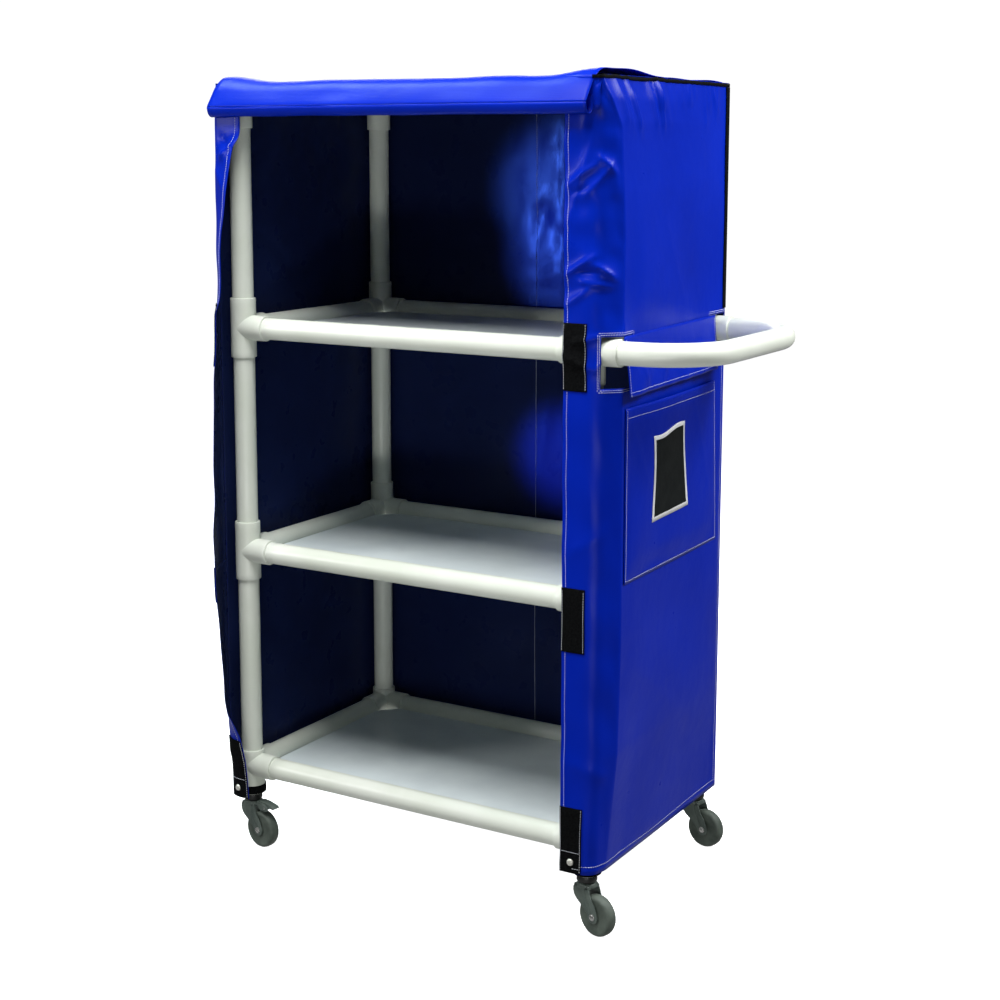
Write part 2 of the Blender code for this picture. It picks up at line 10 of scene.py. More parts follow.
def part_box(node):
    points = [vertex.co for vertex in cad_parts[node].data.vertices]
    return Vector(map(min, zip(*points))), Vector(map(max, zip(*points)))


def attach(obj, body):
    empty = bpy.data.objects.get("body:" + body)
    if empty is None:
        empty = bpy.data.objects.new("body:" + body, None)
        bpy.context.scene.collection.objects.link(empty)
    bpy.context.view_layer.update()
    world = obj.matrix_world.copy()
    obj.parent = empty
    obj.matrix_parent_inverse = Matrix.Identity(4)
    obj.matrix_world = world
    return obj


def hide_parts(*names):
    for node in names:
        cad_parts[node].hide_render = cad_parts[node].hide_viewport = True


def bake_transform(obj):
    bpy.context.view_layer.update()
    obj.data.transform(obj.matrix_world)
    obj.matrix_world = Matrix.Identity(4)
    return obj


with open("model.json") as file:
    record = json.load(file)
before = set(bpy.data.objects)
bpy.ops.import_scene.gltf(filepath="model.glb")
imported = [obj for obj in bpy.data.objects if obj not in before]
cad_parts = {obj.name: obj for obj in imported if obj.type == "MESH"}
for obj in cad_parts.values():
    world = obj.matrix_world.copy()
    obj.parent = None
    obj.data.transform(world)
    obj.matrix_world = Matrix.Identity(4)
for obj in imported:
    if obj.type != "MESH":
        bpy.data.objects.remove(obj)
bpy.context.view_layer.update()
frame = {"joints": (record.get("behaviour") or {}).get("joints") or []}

# ---- places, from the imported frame

JOINTS = {j["name"]: j for j in frame["joints"]}
KEYS = ("fl", "fr", "rl", "rr")
FOOT = {k: Vector(JOINTS["swivel_" + k]["pos_m"]) for k in KEYS}
AXLE = {k: Vector(JOINTS["roll_" + k]["pos_m"]) for k in KEYS}
OX = (FOOT["fl"].x + FOOT["fr"].x) / 2  # centre of the pipe frame
OY = (FOOT["fl"].y + FOOT["rl"].y) / 2
PX = (FOOT["fr"].x - FOOT["fl"].x) / 2
PY = (FOOT["rl"].y - FOOT["fl"].y) / 2
LEVEL = {}
for tag in ("low", "mid", "high", "top"):
    low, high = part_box("rail_" + tag + "_front")
    LEVEL[tag] = (low.z + high.z) / 2
PIPE_R = (high.z - low.z) / 2
SLEEVE_R = 0.025
SOCKET_R = 0.0247
REACH = 0.0587
POST_FOOT = LEVEL["low"] - REACH
SIDE_X = 0.4171
FACE_Y = 0.2686
LOW_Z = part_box("cover_back")[0].z
TOP_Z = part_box("cover_top")[1].z
STRIP = 0.0721
HEM_Z = LOW_Z + 0.015
STRIP_TAPE = STRIP - 0.0002

CENTRE = Vector((OX, OY, 0))

# ---- materials


def material(name, base, rough=0.4, metal=0.0, coat=0.0, coat_rough=0.1, spec=0.5):
    mat = bpy.data.materials.new(name)
    mat.use_nodes = True
    values = {"Base Color": (*base, 1), "Roughness": rough, "Metallic": metal, "Specular IOR Level": spec}
    values |= {"Coat Weight": coat, "Coat Roughness": coat_rough}
    for key, value in values.items():
        skin_of(mat).inputs[key].default_value = value
    return mat


def node(mat, kind, **values):
    made = mat.node_tree.nodes.new(kind)
    for key, value in values.items():
        if key in made.inputs:
            made.inputs[key].default_value = value
        else:
            setattr(made, key, value)
    return made


def skin_of(mat):
    return mat.node_tree.nodes["Principled BSDF"]


def link(mat, a, out, b, into):
    mat.node_tree.links.new(a.outputs[out], b.inputs[into])


def coords(mat, scale=(1, 1, 1)):
    mapping = node(mat, "ShaderNodeMapping", Scale=scale)
    link(mat, node(mat, "ShaderNodeTexCoord"), "Object", mapping, "Vector")
    return mapping


def noise(mat, vector, scale, detail=3.0):
    made = node(mat, "ShaderNodeTexNoise", Scale=scale, Detail=detail, Roughness=0.5)
    link(mat, vector, "Vector", made, "Vector")
    return made


def uneven(mat, source, low, high):
    """Roughness that a 0..1 value moves between low and high."""
    made = node(mat, "ShaderNodeMapRange", **{"To Min": low, "To Max": high})
    link(mat, source, 0, made, "Value")
    link(mat, made, "Result", skin_of(mat), "Roughness")


def bump(mat, source, out, strength, distance, before=None):
    made = node(mat, "ShaderNodeBump", Strength=strength, Distance=distance)
    link(mat, source, out, made, "Height")
    if before:
        link(mat, before, "Normal", made, "Normal")
    link(mat, made, "Normal", skin_of(mat), "Normal")
    return made


def two_tone(mat, source, a, b, low=0.35, high=0.65):
    made = node(mat, "ShaderNodeValToRGB")
    for element, place, colour in zip(made.color_ramp.elements, (low, high), (a, b)):
        element.position = place
        element.color = (*colour, 1)
    link(mat, source, 0, made, "Fac")
    link(mat, made, "Color", skin_of(mat), "Base Color")


def vinyl(name, dark, light, rough=0.3):
    """Coated woven vinyl: a fine scrim shows through a satin skin."""
    mat = material(name, light, rough, coat=0.015, coat_rough=0.18, spec=0.07)
    where = coords(mat)
    two_tone(mat, noise(mat, where, 5.0, 4.0), dark, light, 0.25, 0.75)
    uneven(mat, noise(mat, where, 22.0, 4.0), rough - 0.07, rough + 0.1)
    threads = None
    for direction in ("X", "Y", "Z"):
        wave = node(mat, "ShaderNodeTexWave", Scale=160.0, Distortion=0.4, bands_direction=direction)
        link(mat, where, "Vector", wave, "Vector")
        threads = bump(mat, wave, "Fac", 0.1, 0.0004, threads)
    skin = bump(mat, noise(mat, where, 420.0, 2.0), 0, 0.1, 0.0005, threads)
    bump(mat, noise(mat, where, 34.0), 0, 0.16, 0.003, skin)
    return mat


VINYL = vinyl("vinyl_outside", (0.0004, 0.0145, 0.36), (0.0008, 0.0195, 0.45))
# The inside faces get a much darker navy than the outside. This is painted shade for the dim inside of the cover,
# because the real vinyl is the same blue on both sides.
VINYL_IN_PAINTED_SHADE = vinyl("vinyl_inside_painted_shade", (0.007, 0.013, 0.055), (0.01, 0.018, 0.078), 0.28)


def plastic(
    name, base, rough, tone_size, tones, rough_size, rough_range, bumps, coat, coat_rough, spec, detail=(5.0, 4.0)
):
    """Uneven colour and roughness, and bumps: (size, detail, strength, distance, stretch), fine ones first."""
    mat = material(name, base, rough, coat=coat, coat_rough=coat_rough, spec=spec)
    where = coords(mat)
    two_tone(mat, noise(mat, where, tone_size, detail[0]), *tones)
    uneven(mat, noise(mat, where, rough_size, detail[1]), *rough_range)
    under = None
    for size, fine, strength, distance, stretch in bumps:
        place = coords(mat, stretch) if stretch else where
        under = bump(mat, noise(mat, place, size, fine), 0, strength, distance, under)
    return mat


PIPE = plastic(
    "pipe_plastic", (0.8, 0.8, 0.74), 0.34, 7.0, ((0.74, 0.79, 0.69), (0.82, 0.86, 0.78)), 60.0, (0.28, 0.44),
    ((900.0, 2.0, 0.05, 0.0003, None), (6.0, 3.0, 0.04, 0.001, (18, 18, 3))), 0.15, 0.2, 0.35,
)
PANEL = plastic(
    "panel_plastic", (0.78, 0.84, 0.85), 0.32, 9.0, ((0.7, 0.78, 0.8), (0.78, 0.86, 0.87)), 30.0, (0.24, 0.42),
    ((700.0, 2.0, 0.1, 0.0003, None), (5.0, 2.0, 0.1, 0.006, None)), 0.1, 0.25, 0.35, (5.0, 5.0),
)
LABEL = plastic(
    "label_film", (0.005, 0.007, 0.008), 0.38, 30.0, ((0.004, 0.006, 0.0065), (0.008, 0.0105, 0.0105)), 90.0,
    (0.28, 0.45), ((500.0, 2.0, 0.08, 0.0003, None),), 0.0, 0.3, 0.1, (4.0, 4.0),
)


def moulded(name, dark, light, rough, grain=700.0):
    bumps = ((grain, 3.0, 0.16, 0.0003, None),)
    return plastic(name, light, rough, 45.0, (dark, light), 120.0, (rough - 0.08, rough + 0.12), bumps, 0.0, 0.1, 0.5)


FORK = moulded("caster_plastic", (0.075, 0.1, 0.088), (0.12, 0.15, 0.132), 0.42)
CUP = moulded("caster_cup", (0.01, 0.011, 0.011), (0.02, 0.021, 0.021), 0.4)
HUB = moulded("hub_plastic", (0.105, 0.135, 0.12), (0.15, 0.19, 0.17), 0.45)
TYRE = moulded("tyre_rubber", (0.06, 0.078, 0.064), (0.1, 0.125, 0.104), 0.6, 380.0)
THREAD = moulded("thread", (0.62, 0.66, 0.78), (0.8, 0.84, 0.92), 0.6, 1500.0)
LABEL_WHITE = moulded("label_border", (0.74, 0.75, 0.76), (0.84, 0.85, 0.86), 0.4)


STEEL = material("axle_steel", (0.72, 0.72, 0.7), 0.25, metal=1.0)
uneven(STEEL, noise(STEEL, coords(STEEL), 300.0, 4.0), 0.18, 0.38)
bump(STEEL, noise(STEEL, coords(STEEL, (1, 1, 12)), 500.0, 2.0), 0, 0.06, 0.0002)
PEARL = material("stud_metal", (0.8, 0.8, 0.74), 0.24, metal=0.55, coat=0.6, coat_rough=0.08)
where = coords(PEARL)
two_tone(PEARL, noise(PEARL, where, 120.0, 3.0), (0.7, 0.7, 0.62), (0.88, 0.88, 0.82))
uneven(PEARL, noise(PEARL, where, 400.0, 4.0), 0.15, 0.34)


TAPE = material("hook_tape", (0.004, 0.005, 0.006), 0.85, spec=0.05)  # rows of tiny hooks on black tape
where = coords(TAPE)
two_tone(TAPE, noise(TAPE, where, 260.0, 4.0), (0.0015, 0.0018, 0.0022), (0.005, 0.0055, 0.006))
cells = node(TAPE, "ShaderNodeTexVoronoi", Scale=900.0)
link(TAPE, where, "Vector", cells, "Vector")
tufts = bump(TAPE, cells, "Distance", 0.55, 0.0008)
bump(TAPE, noise(TAPE, where, 60.0, 3.0), 0, 0.15, 0.002, tufts)

# ---- mesh tools


def stand(name, data, mats=()):
    """A new object in the scene."""
    for mat in mats:
        data.materials.append(mat)
    obj = bpy.data.objects.new(name, data)
    bpy.context.scene.collection.objects.link(obj)
    return obj


def belong(obj, body, replaces):
    if body:
        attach(obj, body)
    if replaces:
        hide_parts(*replaces)


def thicken(obj, depth):
    skin = obj.modifiers.new("Thickness", "SOLIDIFY")
    skin.thickness = depth
    skin.offset = -1
    return skin


class Shape:
    """Gathers shells, in coordinates from the pipe frame's centre, and makes one object of them."""

    def __init__(self):
        self.points = []
        self.faces = []
        self.slots = []

    def add(self, points, faces, slot=0):
        base = len(self.points)
        self.points += [tuple(p) for p in points]
        self.faces += [tuple(base + i for i in f) for f in faces]
        self.slots += [slot] * len(faces)

    def tube(self, rings, slot=0):
        """A closed skin over rings of points, all of the same count."""
        count, last = len(rings[0]), (len(rings) - 1) * len(rings[0])
        faces = [tuple(range(count)), tuple(last + k for k in reversed(range(count)))]
        for a in range(0, last, count):
            for k in range(count):
                n = (k + 1) % count
                faces.append((a + k, a + count + k, a + count + n, a + n))
        self.add([p for ring in rings for p in ring], faces, slot)

    def lathe(self, profile, matrix, segments=64, slot=0):
        """Turns (radius, height) points about Z, then places them. The profile runs top to bottom outside."""
        turns = [2 * math.pi * k / segments for k in range(segments)]
        rings = [[matrix @ Vector((r * math.cos(a), r * math.sin(a), z)) for a in turns] for r, z in profile]
        self.tube(rings, slot)

    def sweep(self, path, radius, segments):
        """A round rod along a path that stays level."""
        rings = []
        for i, p in enumerate(path):
            ahead = (path[min(i + 1, len(path) - 1)] - path[max(i - 1, 0)]).normalized()
            side = ahead.cross(Vector((0, 0, 1))).normalized()
            over = side.cross(ahead)
            turns = [2 * math.pi * k / segments for k in range(segments)]
            rings.append([p + side * (radius * math.cos(t)) + over * (radius * math.sin(t)) for t in turns])
        self.tube(rings)

    def plate(self, outline, matrix, low, high, slot=0):
        """A flat outline in XZ, given a thickness along Y."""
        self.tube([[matrix @ Vector((u, y, v)) for u, v in outline] for y in (low, high)], slot)

    def make(self, name, mats, body="frame", replaces=(), slot=None, sharp=35, bevel=0.0):
        mesh = bpy.data.meshes.new(name)
        mesh.from_pydata([Vector(p) + CENTRE for p in self.points], [], self.faces)
        obj = stand(name, mesh, mats)
        mesh.polygons.foreach_set("material_index", self.slots)
        bm = bmesh.new()
        bm.from_mesh(mesh)
        bmesh.ops.remove_doubles(bm, verts=bm.verts, dist=1e-6)
        bmesh.ops.recalc_face_normals(bm, faces=bm.faces)
        bm.to_mesh(mesh)
        bm.free()
        mesh.shade_smooth()
        mesh.set_sharp_from_angle(angle=math.radians(sharp))
        if bevel:
            cut = obj.modifiers.new("Edges", "BEVEL")
            cut.width = bevel
            cut.segments = 3
            cut.limit_method = "ANGLE"
            cut.angle_limit = math.radians(40)
        belong(obj, body, replaces)
        return obj


def mm(*values, raised=0, right=0):
    """Pairs of millimetres, as points in metres. raised and right, in metres, move them."""
    return [(a / 1000 + right, b / 1000 + raised) for a, b in zip(values[::2], values[1::2])]


def turn_to(direction, place):
    """Matrix that takes +Z to direction and the origin to place."""
    turn = Vector((0, 0, 1)).rotation_difference(Vector(direction)).to_matrix().to_4x4()
    return Matrix.Translation(Vector(place)) @ turn


def smooth01(t):
    t = np.clip(t, 0, 1)
    return t * t * (3 - 2 * t)


WAVES = 9


def wobble(u, v, size, seed):
    """Smooth, repeatable unevenness of about -1 to 1, with features of about the given size."""
    rng = np.random.default_rng(seed)
    total = np.zeros(np.broadcast(u, v).shape)
    for _ in range(WAVES):
        a, p = rng.uniform(0, 2 * math.pi, 2)
        k = 2 * math.pi / (size * rng.uniform(0.7, 1.6))
        total = total + np.cos(k * (u * math.cos(a) + v * math.sin(a)) + p)
    return total / math.sqrt(WAVES)


def fold(u, v, a, b, height, width, power=1.0):
    """A ridge along the line from a to b that dies out at both ends. Power 1 is creased, 2 is soft."""
    ax, av = a
    dx, dv = b[0] - ax, b[1] - av
    t = np.clip(((u - ax) * dx + (v - av) * dv) / (dx * dx + dv * dv), 0, 1)
    away = np.hypot(u - ax - t * dx, v - av - t * dv)
    fade = np.clip(np.sin(math.pi * np.clip(t, 0.02, 0.98)), 0, 1) ** 0.6
    return height * fade * np.exp(-((away / width) ** power))


def folds(u, v, rows, power=1.0, near=1.0):
    """The sum of a table of ridges in mm. near makes them higher and narrower."""
    total = 0
    for a, b, c, d, height, width in np.array(rows) / 1000:
        total = total + fold(u, v, (a, b), (c, d), height * near, width / near, power)
    return total


class Sheet:
    """A sheet of vinyl over a grid of (u, v) in metres. P holds its points, from the frame's centre."""

    def __init__(self, us, vs, place, raise_by=None, flip=False):
        self.us, self.vs = np.asarray(us, float), np.asarray(vs, float)
        U, V = np.meshgrid(self.us, self.vs, indexing="ij")
        self.U, self.V = U, V
        P = np.stack(np.broadcast_arrays(*place(U, V)), axis=-1).astype(float)
        self.flip = flip
        if raise_by is not None:
            P = P + self.normals(P) * raise_by(U, V)[..., None]
        self.P = P
        self.N = self.normals(P)

    def normals(self, P):
        du = np.gradient(P, self.us, axis=0)
        dv = np.gradient(P, self.vs, axis=1)
        n = np.cross(du, dv)
        n = n / np.maximum(np.linalg.norm(n, axis=-1, keepdims=True), 1e-9)
        return -n if self.flip else n

    def at(self, u, v, off=0.0):
        """The point of the sheet at (u, v), off its outer face, and the normal there."""
        i = np.interp(u, self.us, np.arange(len(self.us)))
        j = np.interp(v, self.vs, np.arange(len(self.vs)))
        i0, j0 = min(int(i), len(self.us) - 2), min(int(j), len(self.vs) - 2)
        s, t = i - i0, j - j0
        out = []
        for A in (self.P, self.N):
            a = A[i0, j0] * (1 - s) + A[i0 + 1, j0] * s
            b = A[i0, j0 + 1] * (1 - s) + A[i0 + 1, j0 + 1] * s
            out.append(a * (1 - t) + b * t)
        n = out[1] / np.linalg.norm(out[1])
        return out[0] + n * off, n

    def make(
        self, name, mats=(VINYL, VINYL_IN_PAINTED_SHADE), hole=None, thick=0.0009, body="frame", replaces=(), slot="vinyl",
        held="hung", on=(),
    ):
        nu, nv = len(self.us), len(self.vs)
        faces = []
        for i in range(nu - 1):
            for j in range(nv - 1):
                middle = (self.us[i] + self.us[i + 1]) / 2, (self.vs[j] + self.vs[j + 1]) / 2
                if hole and hole(*middle):
                    continue
                a = i * nv + j
                quad = (a, a + nv, a + nv + 1, a + 1)
                faces.append(quad[::-1] if self.flip else quad)
        mesh = bpy.data.meshes.new(name)
        mesh.from_pydata((self.P.reshape(-1, 3) + np.array(CENTRE)).tolist(), [], faces)
        bm = bmesh.new()
        bm.from_mesh(mesh)
        loose = [v for v in bm.verts if not v.link_faces]
        bmesh.ops.delete(bm, geom=loose, context="VERTS")
        bm.to_mesh(mesh)
        bm.free()
        mesh.shade_smooth()
        obj = stand(name, mesh, mats)
        skin = thicken(obj, thick)
        # The inner face and rim take the second material, which by default is the dark inside vinyl, painted shade.
        skin.material_offset = 1 if len(mats) > 1 else 0
        skin.use_rim = True
        belong(obj, body, replaces)
        return obj


THREAD_R, PITCH, STITCH = 0.00042, 0.0046, 0.0034


def stitches(shape, sheet, path):
    """Thread along a path of (u, v) points on a sheet: short rods that lie on its outer face."""
    fine = []
    for (u0, v0), (u1, v1) in zip(path, path[1:]):
        count = max(2, int(math.hypot(u1 - u0, v1 - v0) / 0.0015))
        fine += [(u0 + (u1 - u0) * k / count, v0 + (v1 - v0) * k / count) for k in range(count)]
    fine.append(path[-1])
    spots = [sheet.at(u, v, THREAD_R * 0.6) for u, v in fine]
    pos, nor = (np.array(values) for values in zip(*spots))
    runs = np.append(0, np.cumsum(np.linalg.norm(np.diff(pos, axis=0), axis=1)))

    def where(s):
        p, n = (Vector([np.interp(s, runs, values[:, k]) for k in range(3)]) for values in (pos, nor))
        return p, n.normalized()

    s = PITCH * 0.4
    while s + STITCH < runs[-1]:
        (a, n), (b, _) = where(s), where(s + STITCH)
        along = (b - a).normalized()
        side = along.cross(n).normalized()
        ring = [(1, 0), (0.5, 0.9), (-0.5, 0.9), (-1, 0), (0, -0.6)]
        rings = []
        for t, r in ((0.0, 0.35), (0.18, 1.0), (0.82, 1.0), (1.0, 0.35)):
            centre = a + (b - a) * t
            rings.append([centre + side * (x * r * THREAD_R) + n * (y * r * THREAD_R) for x, y in ring])
        shape.tube(rings)
        s += PITCH


def sew(name, sheet, *paths, body="frame"):
    """Lines of stitches on a sheet, as one object. A path may name another sheet to lie on: (sheet, path)."""
    shape = Shape()
    for path in paths:
        on, path = path if isinstance(path, tuple) else (sheet, path)
        stitches(shape, on, path)
    return shape.make("thread_" + name, [THREAD], body=body, slot="vinyl", sharp=80)


# ---- posts, rails, handle


def fitting_end(radius):
    """The profile of a fitting's end: a flat rim with eased edges, from the rim inwards."""
    rim = mm(-1.7, 0, -0.385, -0.33, 0, -1.1, 0, -12, raised=REACH, right=radius)
    return [(PIPE_R - 0.001, REACH)] + rim


def socket(shape, place, direction):
    profile = fitting_end(SOCKET_R) + mm(0.2, 30, 0.2, 0, right=SOCKET_R) + [(0.002, -0.004)]
    shape.lathe(profile, turn_to(direction, place))


def post(key):
    sx = -1 if key[1] == "l" else 1
    sy = -1 if key[0] == "f" else 1
    x, y = sx * PX, sy * PY
    shape = Shape()
    foot, head = POST_FOOT + 0.006, LEVEL["top"]
    shape.lathe([(0.003, head), (PIPE_R, head), (PIPE_R, foot), (0.003, foot)], Matrix.Translation((x, y, 0)))
    for tag, z in LEVEL.items():
        half = fitting_end(SLEEVE_R)
        if tag == "top":
            upper = [(0.001, 0.0235)] + mm(-6, 23.5, -1.5, 21.8, 0, 17.5, right=SLEEVE_R)
        elif tag == "low":
            upper = [(r, h - REACH + REACH * 0.55) for r, h in half]
        else:
            upper = half
        lower = [(r, -h) for r, h in reversed(half)]
        shape.lathe(upper + lower, Matrix.Translation((x, y, z)))
        ways = [(-sx, 0, 0), (0, -sy, 0)]
        if tag == "high" and sx > 0:
            ways.append((1, 0, 0))
        for way in ways:
            socket(shape, (x, y, z), way)
    shape.make("pipe_post_" + key, [PIPE], replaces=["post_" + key], slot="pipe_plastic")


for key in KEYS:
    post(key)

for tag, z in LEVEL.items():
    for side, a, b in (
        ("front", (-1, -1), (1, -1)),
        ("rear", (-1, 1), (1, 1)),
        ("left", (-1, -1), (-1, 1)),
        ("right", (1, -1), (1, 1)),
    ):
        start, end = Vector((a[0] * PX, a[1] * PY, z)), Vector((b[0] * PX, b[1] * PY, z))
        along = (end - start).normalized()
        half = (end - start).length / 2 - 0.04
        shape = Shape()
        rod = [(0.002, half), (PIPE_R, half), (PIPE_R, -half), (0.002, -half)]
        shape.lathe(rod, turn_to(along, (start + end) / 2))
        name = f"rail_{tag}_{side}"
        shape.make("pipe_" + name, [PIPE], replaces=[name], slot="pipe_plastic")

HANDLE_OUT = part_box("handle")[1].x - PIPE_R - OX
BEND = 0.125


def handle():
    start, bend = PX + 0.036, HANDLE_OUT - BEND
    path = [(start + (bend - start) * k / 7, -PY) for k in range(7)]
    for first, middle in ((-90, BEND - PY), (0, PY - BEND)):
        for k in range(25):
            a = math.radians(first + 90 * k / 24)
            path.append((bend + BEND * math.cos(a), middle + BEND * math.sin(a)))
    path += [(bend - (bend - start) * k / 6 - 1e-4, PY) for k in range(7)]
    shape = Shape()
    shape.sweep([Vector((*p, LEVEL["high"])) for p in path], PIPE_R, 56)
    shape.make("pipe_handle", [PIPE], replaces=["handle"], slot="pipe_plastic")


handle()

# ---- shelf panels


def shelf(tag):
    z = LEVEL[tag] - 0.003
    hx, hy = PX - PIPE_R - 0.0006, PY - PIPE_R - 0.0006
    cx, cy = PX - REACH - 0.0012, PY - SOCKET_R - 0.001
    cx2, cy2 = PX - SOCKET_R - 0.001, PY - REACH - 0.0012
    quarter = [(cx, hy), (cx, cy), (cx2 - 0.028, cy), (cx2, cy - 0.028), (cx2, cy2), (hx, cy2)]
    outline = quarter + [(x, -y) for x, y in reversed(quarter)]
    outline += [(-x, y) for x, y in reversed(outline)]
    shape = Shape()
    shape.tube([[(x, y, h) for x, y in outline] for h in (z, z - 0.005)])
    shape.make("sheet_shelf_" + tag, [PANEL], replaces=["shelf_panel_" + tag], slot="panel_plastic", bevel=0.0012)


for tag in ("low", "mid", "high"):
    shelf(tag)

# ---- casters

WHEEL_R = AXLE["fl"].z


def caster(key):
    trail = AXLE[key] - FOOT[key]
    turn = math.atan2(trail.y, trail.x)
    reach = math.hypot(trail.x, trail.y)
    x, y = FOOT[key].x - OX, FOOT[key].y - OY
    place = Matrix.Translation((x, y, 0)) @ Matrix.Rotation(turn, 4, "Z")
    hub_at = Vector((x, y, WHEEL_R)) + Vector((math.cos(turn), math.sin(turn), 0)) * reach
    across = Vector((-math.sin(turn), math.cos(turn), 0))
    cheek_in, cheek_out = 0.0127, 0.0152

    fork = Shape()
    cup = mm(2, -0.5, 18, -0.5, 18.8, -1.6, raised=POST_FOOT)
    cup += mm(19, 99, 18.4, 97.4, 15, 96.6, 15, 95, 2, 95)
    fork.lathe(cup, place, 56, 1)
    dome = mm(2, 95.8, 12, 95.6, 17.2, 94, 19, 90.5, 18.6, 86.8, 15, 84, 2, 83.5)
    fork.lathe(dome, place, 56)
    outline = mm(-11, 93.5, -16.5, 90, -20.2, 83.5, -20.5, 76.5, -18, 69, -12.5, 62.5, -3.5, 56, 6, 49)
    for k in range(13):
        a = math.radians(175 + 200 * k / 12)
        outline.append((reach + 0.0118 * math.cos(a), WHEEL_R + 0.0118 * math.sin(a)))
    outline += mm(9.5, 48, 4, 60, right=reach) + mm(23.5, 70, 20, 80, 16, 90, 11, 93.5)
    for side in (-1, 1):
        low, high = sorted((side * cheek_in, side * cheek_out))
        fork.plate(outline, place, low, high)
        rib = mm(-10, 89, -6, 68) + mm(-7, 4, -2.5, 6, raised=WHEEL_R, right=reach) + mm(12, 70, 8, 89)
        low, high = sorted((side * (cheek_out - 0.0004), side * (cheek_out + 0.0011)))
        fork.plate(rib, place, low, high)
    fork.plate(mm(-18, 90.5, 17, 90.5, 17, 85, 0, 83.5, -18, 85), place, -cheek_out, cheek_out)
    fork.make("fork_" + key, [FORK, CUP], "fork_" + key, ["caster_fork_" + key], "caster_plastic", bevel=0.0009)

    lie = turn_to(across, hub_at)
    pin = Shape()
    end = cheek_out + 0.0011
    for side in (-1, 1):
        flip = lie if side > 0 else turn_to(-across, hub_at)
        pin.lathe(mm(0.6, 2.2, 2.2, 2, 4, 1.1, 4.4, 0.2, 4.4, -1, 1, -1, raised=end), flip, 32)
        pin.lathe(mm(1, 0.6, 5.8, 0.6, 6.2, 0.2, 6.2, -0.8, 1, -0.8, raised=end), flip, 32)
    pin.lathe([(0.001, end), (0.0036, end), (0.0036, -end), (0.001, -end)], lie, 24)
    pin.make("axle_" + key, [STEEL], "fork_" + key, ["caster_axle_" + key], "axle_steel")

    w = 0.011
    hub = Shape()
    face = mm(4.5, 0.6, 9, 0.6, 9.8, 0, 10.4, -3, 12, -4.2, raised=w)
    face += mm(21.5, -4.8, 23.2, -4, 24, -1.4, 25, -0.6, 29, -0.6, raised=w)
    hub.lathe(face + [(r, -z) for r, z in reversed(face)], lie, 80)
    for side in (-1, 1):
        flip = lie if side > 0 else turn_to(-across, hub_at)
        for k in range(5):
            a = 2 * math.pi * (k + 0.3) / 5
            spoke = flip @ Matrix.Rotation(a, 4, "Z")
            outline = mm(10, -1.6, 23.2, -1.1, 23.2, 1.1, 10, 1.6)
            hub.tube([[spoke @ Vector((u, v, w - h)) for u, v in outline] for h in (0.0058, 0.003)])
    hub.make("hub_" + key, [HUB], "wheel_" + key, ["wheel_hub_" + key], "hub_plastic", bevel=0.0003)

    tyre = Shape()
    side = mm(29.1, -0.3, 30.5, 0.2, 33.5, 0, 35.8, -1.2, 37.2, -3.6, 37.9, -6.6, 38.1, -10, raised=w)
    tyre.lathe(side + [(r, -z) for r, z in reversed(side)], lie, 96)
    tyre.make("tread_" + key, [TYRE], "wheel_" + key, ["tyre_" + key], "tyre_rubber")
    return place


places = {key: caster(key) for key in KEYS}


def brake():
    place = places["fl"]
    pedal = Shape()
    top = mm(21.5, 91.5, 20.5, 96, 25, 98.5, 42, 98, 60, 95, 66.8, 92.5, 69, 89.5, 66, 87.8, 56, 89, 43, 90.5)
    pedal.plate(top, place, -0.0085, 0.0085)
    wing = mm(22, 90, 24, 96, 42, 95.5, 50, 93, 54, 88, 53.5, 83, 47, 80, 40, 81.2, 33, 80, 28, 84)
    pedal.plate(wing, place, -0.0118, -0.0086)
    pedal.plate(wing, place, 0.0086, 0.0118)
    pedal.plate(mm(33, 90, 47, 90, 46, 82, 37, 81.5), place, -0.0086, 0.0086)
    for side in (-1, 1):
        at = place @ Vector((0.0445, side * 0.0112, 0.0868))
        out = (place.to_3x3() @ Vector((0, side, 0)))
        pedal.lathe(mm(0.4, 1.6, 1.4, 1.4, 2.1, 0.6, 2.1, -2, 0.4, -2), turn_to(out, at), 24, 1)
    pedal.make("pedal_fl", [FORK, STEEL], "brake_fl", ["brake_pedal_fl"], "caster_plastic", bevel=0.0008)


brake()

# ---- cover: handle end


def lerp(a, b, t):
    return a + (b - a) * t


END_TURN = math.radians(3.2)  # the loose end panel stands out at the front, turned about its rear corner


def end_point(x, y):
    """A point placed beside a square end panel, turned as the real panel is."""
    dx, dy = x - SIDE_X, y - FACE_Y
    c, s = math.cos(END_TURN), math.sin(END_TURN)
    return SIDE_X + c * dx - s * dy, FACE_Y + s * dx + c * dy


def crease_y(z):
    """Where the end panel bends, before it is turned."""
    zs = [0.118, 0.3, 0.62, 0.95, 1.12, 1.26, 1.36, 1.45, 1.54]
    return np.interp(z, zs, [-0.225, -0.226, -0.2265, -0.232, -0.229, -0.2255, -0.233, -0.233, -0.245])


EDGE_END = 0.055  # u where the return strip begins to turn
BEND_END = 0.073
CREASE = 0.129
PANEL_END = 0.129 + 0.497


